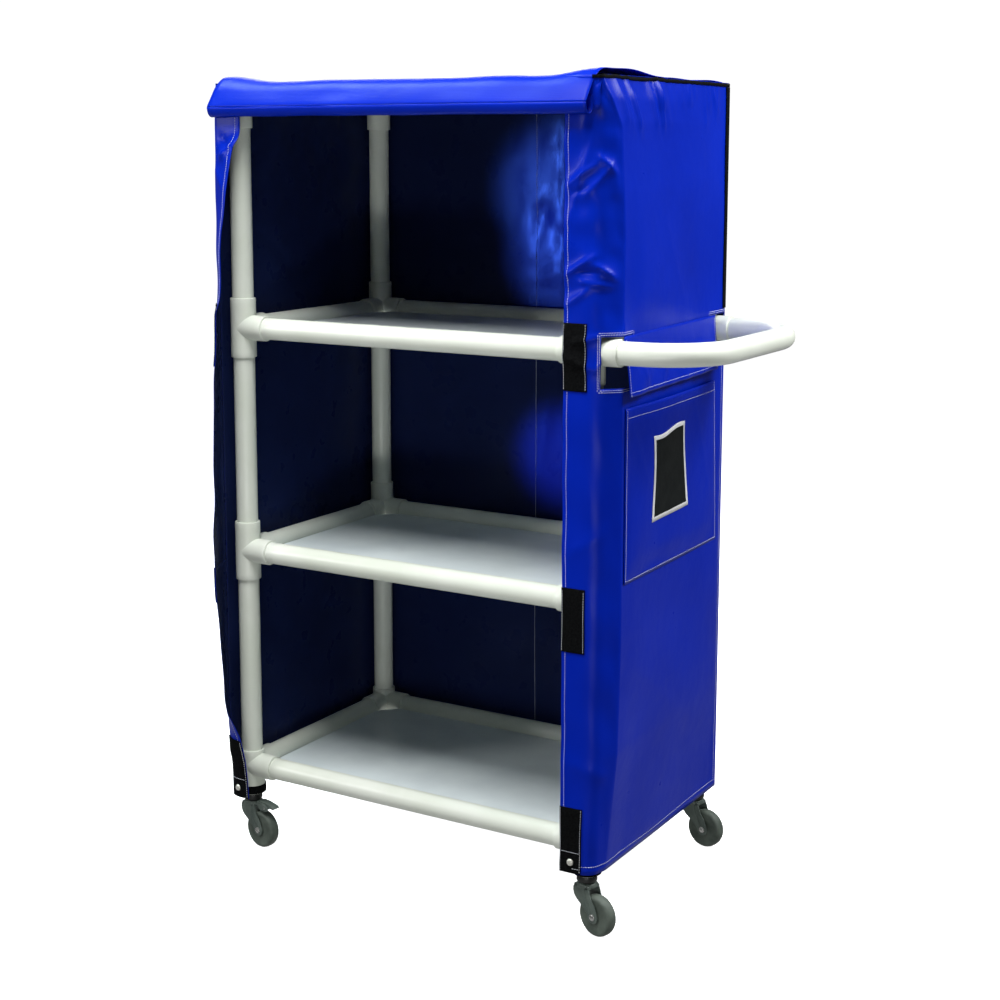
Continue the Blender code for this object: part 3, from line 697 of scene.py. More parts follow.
def end_section(u, z):
    """The handle end's cross-section at a height: return strip, bend, oblique facet, creased edge, flat panel."""
    zs = [0.118, 0.2, 0.34, 0.55, 1.34, 1.46, 1.5, 1.538]
    full = np.interp(z, zs, [0.02, 0.3, 0.82, 1.0, 1.0, 0.8, 0.5, 0.0])
    dx, dy = end_point(SIDE_X, crease_y(z))
    dx = SIDE_X + 0.0012 + (dx - SIDE_X - 0.0012) * full
    top = smooth01((z - 1.44) / 0.098)
    low = smooth01((0.34 - z) / 0.22)
    dy = dy + (-0.264 - dy) * top * 0.9
    keys = (
        (0, SIDE_X - STRIP, -FACE_Y),
        (EDGE_END, 0.4 - 0.005 * low, -0.2688),
        (BEND_END, 0.4163 - 0.0043 * low - 0.0035 * top, -0.2632 + 0.0067 * low - 0.0052 * top),
        (CREASE, dx, dy),
        (PANEL_END, SIDE_X, FACE_Y),
    )
    x, y = np.zeros_like(u + z), np.zeros_like(u + z)
    reach = np.where(u < CREASE, 0.013 * smooth01((CREASE - u) / 0.03) + 0.0012, 0.0012 + 0.004 * low)
    for k in range(-4, 5):
        v = np.clip(u + reach * k / 4, 0, PANEL_END)
        for a, b in zip(keys, keys[1:]):
            inside = (v >= a[0]) & ((v < b[0]) | (b is keys[-1]))
            t = (v - a[0]) / (b[0] - a[0])
            x = x + np.where(inside, a[1] + (b[1] - a[1]) * t, 0) / 9
            y = y + np.where(inside, a[2] + (b[2] - a[2]) * t, 0) / 9
    return x, y, z


def end_puckers(u, z, seed, count, left, right):
    """Short folds that run down from the top seam."""
    rng = np.random.default_rng(seed)
    total = 0
    for _ in range(count):
        s = rng.uniform(left, right)
        drop = rng.uniform(0.03, 0.1)
        lean = rng.uniform(-0.02, 0.02)
        height, width = rng.uniform(0.0015, 0.004), rng.uniform(0.005, 0.011)
        total = total + fold(u, z, (s, 1.545), (s + lean, 1.535 - drop), height, width, 1.4)
    return total


END_FOLDS = [  # from u, z to u, z, then height and width, all in mm
    (6, 1350, 70, 1392, 4, 10), (16, 1338, 50, 1352, -3.4, 7), (40, 1330, 108, 1398, 3.6, 12),
    (64, 1405, 112, 1372, 5, 10), (12, 1290, 60, 1440, 3, 16), (0, 1195, 68, 1236, 4.8, 10),
    (30, 1190, 106, 1180, 4.2, 11), (56, 1222, 110, 1192, 5.6, 8), (30, 1206, 75, 1206, -4, 9),
    (4, 1145, 60, 1180, 3.6, 12), (16, 1080, 80, 1098, 4, 10), (0, 1062, 64, 1036, 5, 10),
    (60, 1030, 130, 1110, 4.2, 13), (90, 1000, 150, 1085, 3.4, 14), (124, 1120, 190, 1010, 2.2, 22),
    (300, 1300, 440, 1090, 2, 30), (380, 1120, 520, 1030, 2.2, 18), (150, 520, 470, 300, 2.2, 50),
    (10, 330, 110, 300, 2.2, 30), (0, 700, 105, 760, 1.8, 30),
]


def end_relief(u, z):
    total = end_puckers(u, z, 5, 12, 0.14, 0.6) + end_puckers(u, z, 8, 7, 0.01, 0.13)
    total = total + 2.4 * end_puckers(u, z, 15, 6, 0.13, 0.36)
    total = total + folds(u, z, [row for row in END_FOLDS if row[0] > 115])
    total = total + folds(u, z, [row for row in END_FOLDS if row[0] <= 115], near=1.8)
    total = total + 0.0022 * wobble(u, z, 0.32, 3) * smooth01((u - 0.14) / 0.08)
    upper = smooth01((z - 1.1) / 0.08) * smooth01((CREASE - u) / 0.02)
    total = total + 0.0014 * wobble(u, z, 0.055, 12) * upper
    total = total + 0.0012 * wobble(u, z, 0.11, 14) * smooth01((CREASE - u) / 0.02)
    edges = smooth01((PANEL_END - u) / 0.03) * smooth01((z - LOW_Z) / 0.03 + 0.25)
    return total * edges


SLOT_LOW, SLOT_HIGH = 1.0045, 1.0945
SLOT_A = (BEND_END + 0.004, CREASE + 0.034)
SLOT_B = (PANEL_END - 0.0765, PANEL_END - 0.0045)


def steps(start, end, size, extra=()):
    count = max(1, round((end - start) / size))
    values = set(np.linspace(start, end, count + 1)) | set(extra)
    return sorted(values)


def thin_out(values, gap=0.0012):
    kept = [values[0]]
    for v in values[1:]:
        if v - kept[-1] > gap:
            kept.append(v)
    return kept


us = steps(0, SLOT_A[0], 0.0045, (0.011,)) + steps(SLOT_A[0], CREASE, 0.005) + [CREASE + 0.0015]
us = thin_out(us + steps(CREASE, PANEL_END, 0.0062, (SLOT_A[1], *SLOT_B)))
COVER_HIGH = 1.538
vs = steps(LOW_Z, SLOT_LOW, 0.0085) + steps(SLOT_LOW, SLOT_HIGH, 0.005)
vs = thin_out(vs + steps(SLOT_HIGH, COVER_HIGH, 0.0045))
end_sheet = Sheet(us, vs, end_section, end_relief)


def in_slots(u, v):
    return SLOT_LOW < v < SLOT_HIGH and (SLOT_A[0] < u < SLOT_A[1] or SLOT_B[0] < u < SLOT_B[1])


end_rests = ["rail_top_right", "post_fr", "post_rr"]
end_sheet.make("vinyl_end_right", hole=in_slots, replaces=["cover_right"], on=end_rests)

END_EDGE = PANEL_END - 0.012
seams = [
    [(0.011, LOW_Z + 0.004), (0.011, 1.5)],
    [(0.004, HEM_Z), (PANEL_END - 0.006, HEM_Z)],
    [(END_EDGE, LOW_Z + 0.016), (END_EDGE, SLOT_LOW - 0.004)],
]
for a, b in (SLOT_A, SLOT_B):
    for off in (0.0032, 0.0067):
        left, right, low, high = a - off, b + off, SLOT_LOW - off, SLOT_HIGH + off
        seams += [[(left, low), (left, high)], [(right, low), (right, high)]]
        seams += [[(left, low), (right, low)], [(left, high), (right, high)]]
sew("end_right", end_sheet, *seams)

# ---- cover: left end, back, top


def corner_pull(z):
    """How far the cover's front left corner is drawn in round the foot of the post."""
    return 0.02 * smooth01((0.33 - z) / 0.2)


def left_section(u, z):
    y = -FACE_Y + u
    x = -SIDE_X + corner_pull(z) * smooth01((0.045 - u) / 0.045)
    near = np.clip(0.0264**2 - (y + PY) ** 2, 0, None)
    x = np.where((near > 0) & (z < 0.25), np.minimum(x, -PX - np.sqrt(near)), x)
    return x, y, z


LEFT_END = 2 * FACE_Y


LEFT_FOLDS = [
    (60, 1300, 300, 1120, 4, 18), (100, 950, 420, 1100, 3.4, 20), (200, 600, 480, 420, 3.4, 26),
    (50, 480, 240, 360, 3, 20), (300, 1360, 460, 1460, 3.4, 14), (30, 300, 160, 200, 3, 16),
]


def left_relief(u, z):
    edges = smooth01((LEFT_END - u) / 0.03) * smooth01((z - LOW_Z) / 0.03 + 0.25) * smooth01(u / 0.03)
    total = 0.003 * wobble(u, z, 0.3, 21) + 0.0012 * wobble(u, z, 0.09, 22) * smooth01((z - 1.1) / 0.3)
    total = total + end_puckers(u, z, 25, 13, 0.02, 0.53)
    total = total + folds(u, z, LEFT_FOLDS, 1.2)
    return total * edges


us = thin_out(steps(0, 0.06, 0.004) + steps(0.06, LEFT_END, 0.007))
vs = steps(LOW_Z, COVER_HIGH, 0.0085)
left_sheet = Sheet(us, vs, left_section, left_relief, flip=True)
left_sheet.make("vinyl_end_left", replaces=["cover_left"], on=["rail_top_left"])
LEFT_SEAM = LEFT_END - 0.012
left_line = [(LEFT_SEAM, LOW_Z + 0.016), (LEFT_SEAM, 1.52)]
sew("end_left", left_sheet, [(0.004, HEM_Z), (LEFT_END - 0.006, HEM_Z)], left_line)


BACK_FOLDS = [
    (462, 1100, 470, 1470, 2.8, 6), (400, 1180, 450, 1400, 2.6, 16), (390, 1300, 500, 1200, 2.2, 16),
    (410, 720, 450, 980, 2.2, 18), (100, 900, 300, 700, 2, 30), (560, 500, 760, 300, 2, 30),
    (150, 400, 400, 300, 2, 30),
]


def back_relief(u, z):
    edges = smooth01(u / 0.03) * smooth01((2 * SIDE_X - u) / 0.03) * smooth01((z - LOW_Z) / 0.03 + 0.25)
    total = 0.0018 * wobble(u, z, 0.36, 31) - 0.001
    lit = np.exp(-(((u - 0.44) / 0.09) ** 2)) * smooth01((z - 1.05) / 0.08) * smooth01((1.5 - z) / 0.06)
    total = total + 0.001 * wobble(u, z, 0.075, 34) * lit
    total = total - folds(u, z, BACK_FOLDS, 1.3)
    return -total * edges


BACK_Y = FACE_Y - 0.0001


def back_place(u, z):
    return u - SIDE_X + 0.0012 * (1 - u / SIDE_X), BACK_Y, z


us = steps(0, 2 * SIDE_X, 0.0085)
vs = steps(LOW_Z, COVER_HIGH, 0.0085)
back_sheet = Sheet(us, vs, back_place, back_relief, flip=True)
back_cover = back_sheet.make("vinyl_back", replaces=["cover_back"], on=["rail_top_rear"])


def inner_place(u, z):
    x, y, z = back_place(u, z)
    return x, y - 0.001 + 0 * u, z


inner_sheet = Sheet(us, vs, inner_place, lambda u, z: -back_relief(u, z))
WIDE = 2 * SIDE_X
back_seams = [[(x, LOW_Z + 0.016), (x, 1.5)] for x in (0.012, WIDE - 0.012)]
inner_seam = [(SIDE_X - 0.011, LOW_Z + 0.016), (SIDE_X - 0.011, 1.52)]
sew("back", back_sheet, [(0.006, HEM_Z), (WIDE - 0.006, HEM_Z)], *back_seams, (inner_sheet, inner_seam))

FLAT_RUN = FACE_Y + 0.2718 - 0.034
BEND_RUN = 0.0503


def top_place(u, v):
    """From the rear edge forwards, over the rounded front edge and down the short valance."""
    a = np.clip((v - FLAT_RUN) / BEND_RUN, 0, 1) * math.pi / 2
    y = FACE_Y - np.minimum(v, FLAT_RUN) - 0.034 * np.sin(a)
    z = 1.5395 - 0.03 * (1 - np.cos(a)) - np.clip(v - FLAT_RUN - BEND_RUN, 0, None)
    return u - SIDE_X, y, z


def top_relief(u, v):
    edges = smooth01(u / 0.03) * smooth01((2 * SIDE_X - u) / 0.03)
    edges = edges * smooth01(v / 0.03) * smooth01((FLAT_RUN - v) / 0.03)
    return -0.0024 * np.abs(wobble(u, v, 0.25, 41)) * edges


us = steps(0, 2 * SIDE_X, 0.012)
vs = steps(0, FLAT_RUN, 0.012) + [FLAT_RUN + BEND_RUN * k / 9 for k in range(1, 10)]
vs = thin_out(vs + [FLAT_RUN + BEND_RUN + 0.01 * k for k in range(1, 4)])
top_sheet = Sheet(us, vs, top_place, top_relief, flip=True)
top_sheet.make("vinyl_top", replaces=["cover_top"], held="stretched", on=["rail_top_front", "rail_top_rear"])

# ---- left return strip, twisted open


def opening(z):
    """How far the left strip stands open at a height, in radians."""
    zs = [118, 150, 200, 250, 280, 300, 330, 360, 420, 500, 600, 700]
    zs += [800, 900, 1000, 1050, 1110, 1120, 1257, 1334, 1380, 1410, 1440, 1480]
    zs = np.array(zs) / 1000
    degrees = [20, 22, 27, 34, 45, 54, 58, 58.5, 61.5, 65, 70, 69, 67, 64.5, 61, 60, 57, 52, 46.5, 37.7, 31, 26, 10, 10]
    smoothed = sum(np.interp(z + d, zs, degrees) for d in (-0.01, -0.005, 0, 0.005, 0.01)) / 5
    return np.radians(smoothed)


def strip_place(u, z):
    """The strip leaves the corner in line with the end panel and turns within the first 16 mm."""
    fine = np.linspace(0, STRIP, 145)
    heights = z[0] if np.ndim(z) == 2 else np.atleast_1d(z)
    end = math.pi / 2 + (opening(heights) - math.pi / 2) / 0.889
    angle = math.pi / 2 + (end - math.pi / 2)[None, :] * smooth01(fine / 0.016)[:, None]
    step = fine[1] - fine[0]
    X = np.cumsum(np.cos(angle), axis=0) * step - step * np.cos(angle)
    Y = np.cumsum(np.sin(angle), axis=0) * step - step * np.sin(angle)
    k = np.clip(u[:, 0] / STRIP * 144, 0, 143.999)
    i, f = k.astype(int), (k % 1)[:, None]
    x = X[i] * (1 - f) + X[i + 1] * f
    y = Y[i] * (1 - f) + Y[i + 1] * f
    t = u / STRIP
    pull = corner_pull(z)
    x = x + pull * (1 - t) ** 1.5
    y = y + 0.35 * pull * np.sin(np.pi * t)
    return -SIDE_X + x, -FACE_Y - y, z


STRIP_FOLDS = [
    (30, 1395, 73, 1425, 9, 10), (20, 1440, 70, 1400, -6, 9), (10, 1380, 60, 1330, 4, 12),
    (20, 330, 70, 250, 3, 14), (10, 200, 60, 260, 3, 12),
]


def strip_relief(u, z):
    grow = smooth01(u / 0.015)
    total = 0.0014 * wobble(u, z, 0.12, 51)
    total = total + folds(u, z, STRIP_FOLDS, 1.2)
    return total * grow


def blend_strip(obj):
    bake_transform(obj)


strip_sheets = {}
us = thin_out(steps(0.0002, STRIP, 0.0036, (0.0611, 0.0151)))
for half, z0, z1 in (("lower", LOW_Z, 0.6), ("upper", 0.6, 1.478)):
    vs = steps(z0, z1, 0.0055)
    made = Sheet(us, vs, strip_place, strip_relief)
    strip_sheets[half] = made
    obj = made.make("vinyl_strip_left_" + half, body=None, replaces=["strip_left"], on=["vinyl_end_left"])
    blend_strip(obj)
    hem = [[(0.002, HEM_Z), (STRIP - 0.002, HEM_Z)]] if half == "lower" else []
    line = sew("strip_left_" + half, made, [(0.0611, z0 + 0.002), (0.0611, z1 - 0.002)], *hem, body=None)
    blend_strip(line)

# ---- front curtain, thrown back


def rounded_path(pts, step=0.004):
    """Cuts corners three times, then samples evenly."""
    for _ in range(3):
        new = [pts[0]]
        for a, b in zip(pts, pts[1:]):
            new.append((a[0] * 0.75 + b[0] * 0.25, a[1] * 0.75 + b[1] * 0.25))
            new.append((a[0] * 0.25 + b[0] * 0.75, a[1] * 0.25 + b[1] * 0.75))
        new.append(pts[-1])
        pts = new
    pts = np.array(pts)
    runs = np.append(0, np.cumsum(np.linalg.norm(np.diff(pts, axis=0), axis=1)))
    count = max(4, round(runs[-1] / step))
    s = np.linspace(0, runs[-1], count + 1)
    return np.interp(s, runs, pts[:, 0]), np.interp(s, runs, pts[:, 1]), s


CURTAIN = {  # (y, z) of the curtain's middle, run by run; each run starts where the last one ends
    "fold": mm(
        -274, 1505, -274.2, 1488, -277.5, 1477.5, -286, 1473.5, -294.5, 1478, -298.5, 1488, -298.5, 1492.5,
    ),
    "over": mm(
        -298.5, 1492.5, -295, 1498.5, -285.6, 1511.5, -273.2, 1527.5, -260, 1535.8, -246.2, 1540.2,
        -215.8, 1541.2, -160, 1541.4, 0, 1541.4,
    ),
    "rear": mm(
        0, 1541.4, 150, 1541.4, 250, 1541.6, 271.5, 1539.5, 275, 1525, 275.6, 1470, 276.2, 1300,
        276.4, 1100, 276.4, 950, 276, 887,
    ),
}
C_LEFT, C_RIGHT = -0.414, 0.405


def curtain_piece(name):
    ys, zs, s = rounded_path(CURTAIN[name])
    xs = steps(C_LEFT, C_RIGHT, 0.009)

    def place(u, v):
        y = np.interp(v, s, ys)
        z = np.interp(v, s, zs)
        end = smooth01((u - 0.3) / 0.1)
        flare = end + smooth01((-0.29 - u) / 0.12)
        if name == "over":
            z = z + flare * 0.0105 * smooth01((y + 0.285) / 0.06) * smooth01((0.02 - y) / 0.2)
        elif name == "rear":
            hang = smooth01((1.535 - z) / 0.05)
            y = y + hang * 0.0012 * wobble(u, z, 0.35, 61)
            y = y + hang * end * 0.003 * smooth01((z - 0.95) / 0.2)
            y = np.where(z < 1.52, np.maximum(y, 0.2738), y)
        return u, y, z

    def relief(u, v):
        if name == "fold":
            return 0.0006 * wobble(u, v, 0.12, 62)
        tail = 1 if name == "over" else smooth01((s[-1] - v) / 0.02)
        return 0.001 * wobble(u, v, 0.16, 63) * smooth01(v / 0.03) * tail

    return Sheet(xs, s, place, relief, flip=True)


CURTAIN_RUNS = {  # how it is held, the bodies it joins, and where one hands over to the other
    "fold": ("folded", "frame", "curtain_leg", (0, -0.2742, 1.48), (0, -0.2984, 1.48)),
    "over": ("laid", "curtain_leg", "curtain_top", (0, -0.2985, 1.494), (0, -0.244, 1.54)),
    "rear": ("draped", "curtain_top", "curtain_drop", (0, 0.252, 1.5414), (0, 0.278, 1.518)),
}
HEMS = {  # u of the hem lines at each run's start and end
    "fold": ((-0.37, -0.37), (0.339, 0.339)),
    "over": ((-0.37, -0.4), (0.339, 0.352)),
    "rear": ((-0.4, -0.4), (0.352, 0.352)),
}
for name, (held, a, b, start, end) in CURTAIN_RUNS.items():
    made = curtain_piece(name)
    obj = made.make("vinyl_curtain_" + name, [VINYL, VINYL], body=None, held=held, on=["vinyl_top"])
    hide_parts(b)
    last = made.vs[-1]
    seams = []
    for x0, x1 in HEMS[name]:
        seams.append([(x0, 0.001), (lerp(x0, x1, 0.1), last * 0.25), (x1, last * 0.8), (x1, last - 0.001)])
    if name == "rear":
        seams.append([(C_LEFT + 0.004, last - 0.02), (C_RIGHT - 0.004, last - 0.02)])
    for piece in (obj, sew("curtain_" + name, made, *seams, body=None)):
        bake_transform(piece)

# ---- handle end: flap, pocket, label


def between(corners, a, b):
    """A point a of the way across and b of the way down a four-sided outline."""
    tl, tr, br, bl = corners
    return [lerp(lerp(tl[k], tr[k], a), lerp(bl[k], br[k], a), b) for k in (0, 1)]


def plane(y, z, out):
    """A point beside the tilted end panel: y along it, out from it."""
    px, py = end_point(SIDE_X + out, y)
    return px, py, z


FLAP_Y0, FLAP_Y1 = -0.233, 0.208
FLAP_TOP = 1.0945
FLAP_DROP = 0.106


def flap_place(u, v):
    t = v / FLAP_DROP
    curl = 0.0045 * t * np.exp(-(((u - 0.03) / 0.045) ** 2))
    out = 0.003 + 0.0075 * t**1.2 + curl + 0.0016 * np.sin(u * 19.0 + 0.6) * t
    left = np.clip((0.02 - u) / 0.02, 0, 1)
    y = FLAP_Y0 + u + 0.006 * t * left
    z = FLAP_TOP - v * (1 + 0.02 * np.sin(u * 11.0)) + 0.0012 * np.sin(u * 13.0) * t
    return plane(y, z, out)


def flap_relief(u, v):
    t = smooth01(v / FLAP_DROP * 1.2)
    ridges = [(50, 20, 100, 100, 3, 10), (200, 30, 160, 110, 2.2, 12), (12, 5, 45, 60, 2.6, 7)]
    return t * (0.0012 * wobble(u, v, 0.07, 71) + folds(u, v, ridges))


FLAP_W = FLAP_Y1 - FLAP_Y0
us = thin_out(steps(0, FLAP_W, 0.006, (0.006, FLAP_W - 0.006)))
flap_sheet = Sheet(us, steps(0, FLAP_DROP, 0.005), flap_place, flap_relief, flip=True)
flap_sheet.make("vinyl_handle_flap", body="handle_flap", replaces=["handle_flap"], on=["vinyl_end_right"])
SEAM_V = FLAP_DROP - 0.0075
flap_seams = [[(x, 0.004), (x, FLAP_DROP - 0.0005)] for x in (0.006, FLAP_W - 0.006)]
sew("flap", flap_sheet, *flap_seams, [(0.0005, SEAM_V), (FLAP_W - 0.0005, SEAM_V)], body="handle_flap")

POCKET_CORNERS = ((-0.219, 0.9665), (0.213, 0.9655), (0.235, 0.644), (-0.219, 0.652))  # (y, z) beside the panel
PW, PH = 0.443, 0.318


def pocket_out(u, v):
    """How far the pocket stands off the panel: nothing at its three sewn edges, a little at the mouth."""
    across = np.sin(np.pi * np.clip(u / PW, 0, 1)) ** 0.55
    up = smooth01(v / 0.05) * (0.55 + 0.45 * np.clip(v / PH, 0, 1) ** 2)
    return 0.0022 + 0.0066 * across * up


def pocket_place(u, v):
    y, z = between(POCKET_CORNERS, u / PW, 1 - v / PH)
    return plane(y, z, pocket_out(u, v))


def pocket_relief(u, v):
    inner = smooth01(u / 0.02) * smooth01((PW - u) / 0.02) * smooth01(v / 0.02)
    total = 0.0009 * wobble(u, v, 0.16, 81) + fold(u, v, (0.02, 0.29), (0.1, 0.16), 0.0014, 0.014)
    return inner * (total + fold(u, v, (0.32, 0.3), (0.42, 0.06), 0.0014, 0.02))


us, vs = thin_out(steps(0, PW, 0.0065, (0.006,))), thin_out(steps(0, PH, 0.0065, (PH - 0.018,)))
pocket_sheet = Sheet(us, vs, pocket_place, pocket_relief)
pocket_sheet.make("vinyl_pocket", replaces=["pocket"], on=["vinyl_end_right"])
pocket_edge = [(0.0045, PH - 0.002), (0.0045, 0.0045), (PW - 0.0045, 0.0045), (PW - 0.0045, PH - 0.002)]
sew("pocket", pocket_sheet, pocket_edge, [(0.002, PH - 0.018), (PW - 0.002, PH - 0.018)])

LABEL_CORNERS = ((0.115, 0.254), (0.27, 0.2615), (0.288, 0.097), (0.113, 0.0935))  # (across, up) on the pocket


def label_point(a, b):
    """Across and down the label, 0 to 1, as (u, v) on the pocket. Its edges are a little wavy."""
    y, z = between(LABEL_CORNERS, a, b)
    y = y + 0.005 * math.sin(math.pi * b) * (1 - 2 * a)
    z = z - 0.003 * math.sin(math.pi * a * 2) * (1 - b)
    return y, z


label = Shape()
CELLS = 20
corner = {}
for i in range(CELLS + 1):
    for j in range(CELLS + 1):
        corner[i, j] = pocket_sheet.at(*label_point(i / CELLS, j / CELLS), 0.001)[0]
for i in range(CELLS):
    for j in range(CELLS):
        rim = {i, j} & {0, CELLS - 1}
        quad = [corner[i, j], corner[i + 1, j], corner[i + 1, j + 1], corner[i, j + 1]]
        label.add(quad, [(3, 2, 1, 0)], 1 if rim else 0)
made = label.make("printed_label", [LABEL, LABEL_WHITE], replaces=["label"], slot="label_plastic", sharp=60)
thicken(made, 0.0006)

# ---- hook strips, corner straps, studs


def tape(name, sheet, u0, u1, v0, v1, body="frame", replaces=(), on="vinyl_end_right"):
    """A strip of tape that lies on a sheet's outer face."""
    us, vs = steps(u0, u1, 0.003), steps(v0, v1, 0.0035)

    def place(U, V):
        found = np.array([[sheet.at(u, v, 0.002)[0] for v in vs] for u in us])
        return found[..., 0], found[..., 1], found[..., 2]

    made = Sheet(us, vs, place)
    on = [on] if on else ()
    obj = made.make(name, [TAPE], thick=0.0012, body=body, replaces=replaces, slot="hook_tape", held="laid", on=on)
    edges = [[(u, v0 + 0.001), (u, v1 - 0.001)] for u in (u0 + 0.0025, u1 - 0.0025)]
    return made, obj, edges


for tag, z0, z1 in (("high", 0.998, 1.117), ("mid", 0.53, 0.647)):
    made, obj, edges = tape(f"tape_{tag}_right", end_sheet, 0.0, 0.05, z0, z1, replaces=[f"hook_patch_{tag}_right"])
    sew(f"tape_{tag}_right", made, *edges)
    half = "upper" if tag == "high" else "lower"
    z1 = z1 if tag == "high" else 0.5995
    patch, below = [f"hook_patch_{tag}_left"], "vinyl_strip_left_" + half
    made, obj, edges = tape(f"tape_{tag}_left", strip_sheets[half], 0.0221, STRIP_TAPE, z0, z1, None, patch, below)
    blend_strip(obj)
    blend_strip(sew(f"tape_{tag}_left", made, *edges, body=None))

tape("binding_top", end_sheet, EDGE_END + 0.004, PANEL_END - 0.001, COVER_HIGH - 0.006, COVER_HIGH, on=None)
tape("binding_rear", end_sheet, PANEL_END - 0.015, PANEL_END - 0.0002, 1.104, COVER_HIGH - 0.0065)

STUD = mm(0.3, 3.4, 3, 3.1, 5.2, 2.2, 6.4, 0.8, 6.6, 0, 0.3, 0)
BAND = mm(25.6, 129, 27, 129, 27.2, 120.9, 26.8, 112.8, 25.6, 112.8)


def strap(side, key, sheet, u0, u1, lines, stud_u, **tape_options):
    """A corner strap, the loop round the post's foot, and the snap stud."""
    strap_node = [f"corner_strap_{side}"]
    made, obj, edges = tape(f"strap_{side}", sheet, u0, u1, LOW_Z + 0.001, 0.242, replaces=strap_node, **tape_options)
    line = sew(f"strap_{side}", made, *edges, *lines, body=tape_options.get("body", "frame"))
    if side == "left":
        blend_strip(obj)
        blend_strip(line)
    band = Shape()
    band.lathe(BAND, Matrix.Translation((FOOT[key].x - OX, FOOT[key].y - OY, 0)), 64)
    band.make(f"strap_loop_{side}", [TAPE], slot="hook_tape", replaces=strap_node)
    spot, out = made.at(stud_u, 0.139, 0.0002)
    stud = Shape()
    stud.lathe(STUD, turn_to(Vector(out), Vector(spot)), 40)
    stud.make(f"stud_{side}", [PEARL], replaces=[f"snap_stud_{side}"], slot="stud_metal")


foot_line = [(0.03, LOW_Z + 0.01), (0.046, LOW_Z + 0.01)]
strap("right", "fr", end_sheet, 0.0, 0.05, [[(0.0025, 0.158), (0.048, 0.158)], foot_line], 0.0275)
low_strip = strip_sheets["lower"]
left_line = [(0.018, 0.158), (STRIP - 0.003, 0.158)]
strap("left", "fl", low_strip, 0.015, STRIP_TAPE, [left_line], 0.042, body=None, on="vinyl_strip_left_lower")

# ---- floor, light, camera

floor_mesh = bpy.data.meshes.new("floor")
half = 9.0
floor_mesh.from_pydata([(-half, -half, 0), (half, -half, 0), (half, half, 0), (-half, half, 0)], [], [(0, 1, 2, 3)])
floor = stand("floor", floor_mesh)
floor_mat = material("floor_pale", (0.92, 0.92, 0.92), 0.6, spec=0.1)
two_tone(floor_mat, noise(floor_mat, coords(floor_mat), 3.0), (0.93, 0.93, 0.93), (0.95, 0.95, 0.95))
glow = skin_of(floor_mat).inputs
glow["Emission Color"].default_value = (1, 1, 1, 1)
glow["Emission Strength"].default_value = 0.95
floor_mesh.materials.append(floor_mat)
floor.visible_diffuse = False  # it is seen and takes shadows, but throws no light back on the trolley
floor.visible_glossy = False

world = bpy.data.worlds.new("studio")
bpy.context.scene.world = world
world.use_nodes = True
background = world.node_tree.nodes["Background"]
background.inputs["Color"].default_value = (1, 1, 1, 1)
split = node(world, "ShaderNodeSeparateXYZ")
link(world, node(world, "ShaderNodeTexCoord"), "Generated", split, 0)


def band_of(axis, start, end, low, high):
    made = node(world, "ShaderNodeMapRange", **{"From Min": start, "From Max": end, "To Min": low, "To Max": high})
    link(world, split, axis, made, "Value")
    return made


# a dark studio: a little light comes from the backdrop and more off the floor
both = node(world, "ShaderNodeMath", operation="MULTIPLY")
link(world, band_of("Y", -0.6, 0.7, 0.06, 0.1), "Result", both, 0)
link(world, band_of("Z", -0.55, -0.2, 5.5, 1.0), "Result", both, 1)
level = node(world, "ShaderNodeMix")
link(world, node(world, "ShaderNodeLightPath"), "Is Camera Ray", level, "Factor")
link(world, both, "Value", level, "A")
level.inputs["B"].default_value = 1.05
link(world, level, "Result", background, "Strength")


def area_light(name, place, aim, size, power, colour=(1, 1, 1)):
    """place and aim are from the frame's centre, as for the spots."""
    data = bpy.data.lights.new(name, "AREA")
    data.shape = "RECTANGLE"
    data.size, data.size_y = size
    data.energy = power
    data.color = colour
    obj = stand(name, data)
    obj.location = Vector(place) + CENTRE
    obj.rotation_euler = (Vector(aim) - Vector(place)).to_track_quat("-Z", "Y").to_euler()


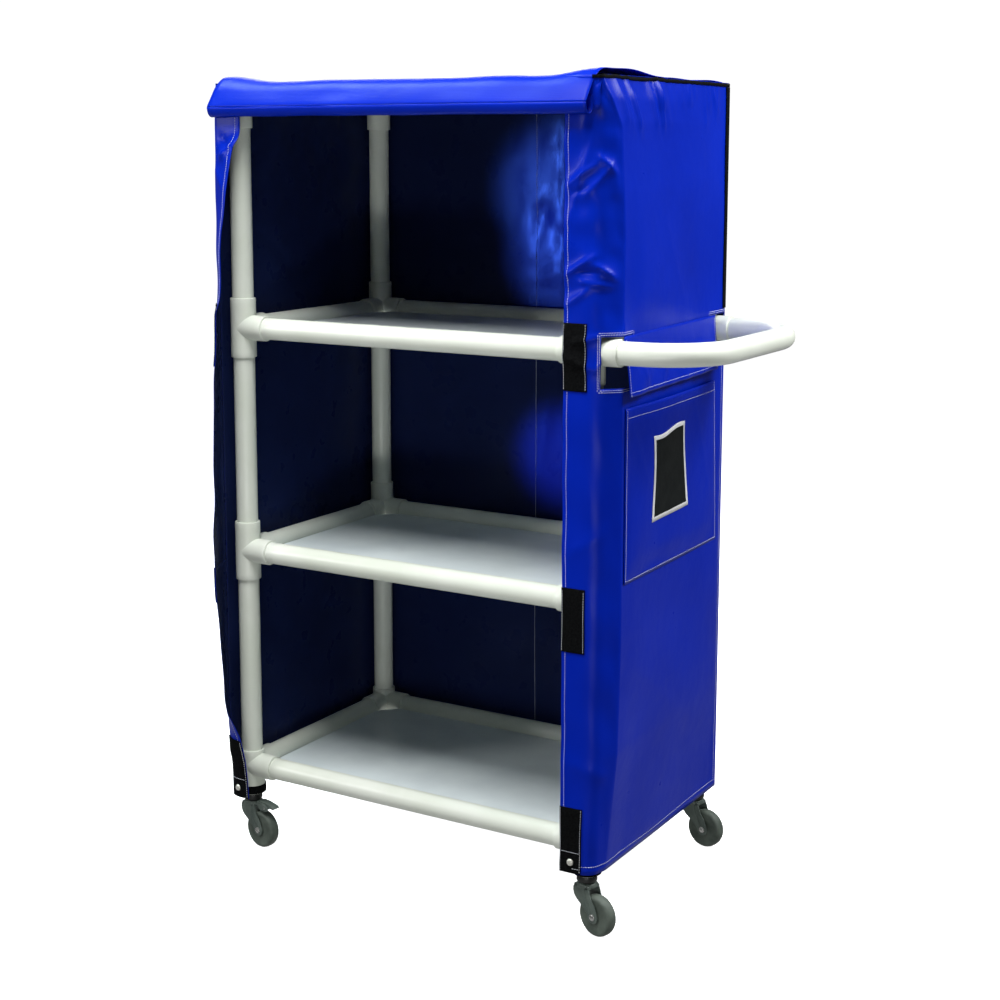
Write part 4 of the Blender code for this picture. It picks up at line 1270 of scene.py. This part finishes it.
area_light("key", (-2.3, -2.5, 1.85), (0, 0, 1.0), (0.7, 0.9), 34)
area_light("overhead", (0.1, -1.35, 3.4), (0, -0.1, 0.8), (1.8, 1.2), 95)
area_light("gloss", (-1.7, -0.1, 3.9), (0, 0, 1.5), (1.1, 1.1), 56, (0.72, 1.0, 0.96))
area_light("side", (2.3, 1.1, 3.0), (0.4, 0, 0.8), (1.2, 1.2), 113)
area_light("low", (1.3, -2.6, 0.12), (0.1, -0.2, 0.8), (1.4, 0.2), 14)
area_light("behind", (-2.4, 3.0, 2.4), (0, 0, 0.8), (2.0, 2.0), 60)


only_back = bpy.data.collections.new("only_back")
only_back.objects.link(back_cover)


def spot(name, aim, power, colour, cone, reach=3.2):
    """A small lamp at the front left that lights a patch of the back, and only that, through the open front."""
    data = bpy.data.lights.new(name, "SPOT")
    data.energy = power
    data.color = colour
    data.spot_size = math.radians(cone)
    data.spot_blend = 1.0
    data.shadow_soft_size = 0.03
    obj = stand(name, data)  # the lamp leaves the other pieces alone, but they still shade it
    obj.light_linking.receiver_collection = only_back
    aim = Vector(aim) + CENTRE
    obj.location = aim + Vector((-0.4, -0.917, 0.0)) * reach
    obj.rotation_euler = (aim - obj.location).to_track_quat("-Z", "Y").to_euler()


spot("glint_high", (0.045, FACE_Y, 1.33), 900, (0.06, 0.18, 1.0), 6.0)
spot("glint_middle", (0.05, FACE_Y, 1.19), 800, (0.05, 0.15, 1.0), 5.0)
spot("glint_low", (0.06, FACE_Y, 0.77), 1000, (0.02, 0.07, 1.0), 4.6)

camera_data = bpy.data.cameras.new("camera")
camera_data.lens = 61.99
camera_data.sensor_width = 36
camera_data.shift_x = 0.01326
camera_data.shift_y = -0.09784
camera = stand("camera", camera_data)
camera.location = CENTRE + Vector((1.7748, -2.8739, 1.42))
camera.rotation_euler = Vector((-0.51326, 0.84548, -0.14742)).to_track_quat("-Z", "Y").to_euler()
bpy.context.scene.camera = camera
bpy.context.scene.view_settings.view_transform = "Standard"

# ---- finish

bpy.context.view_layer.update()
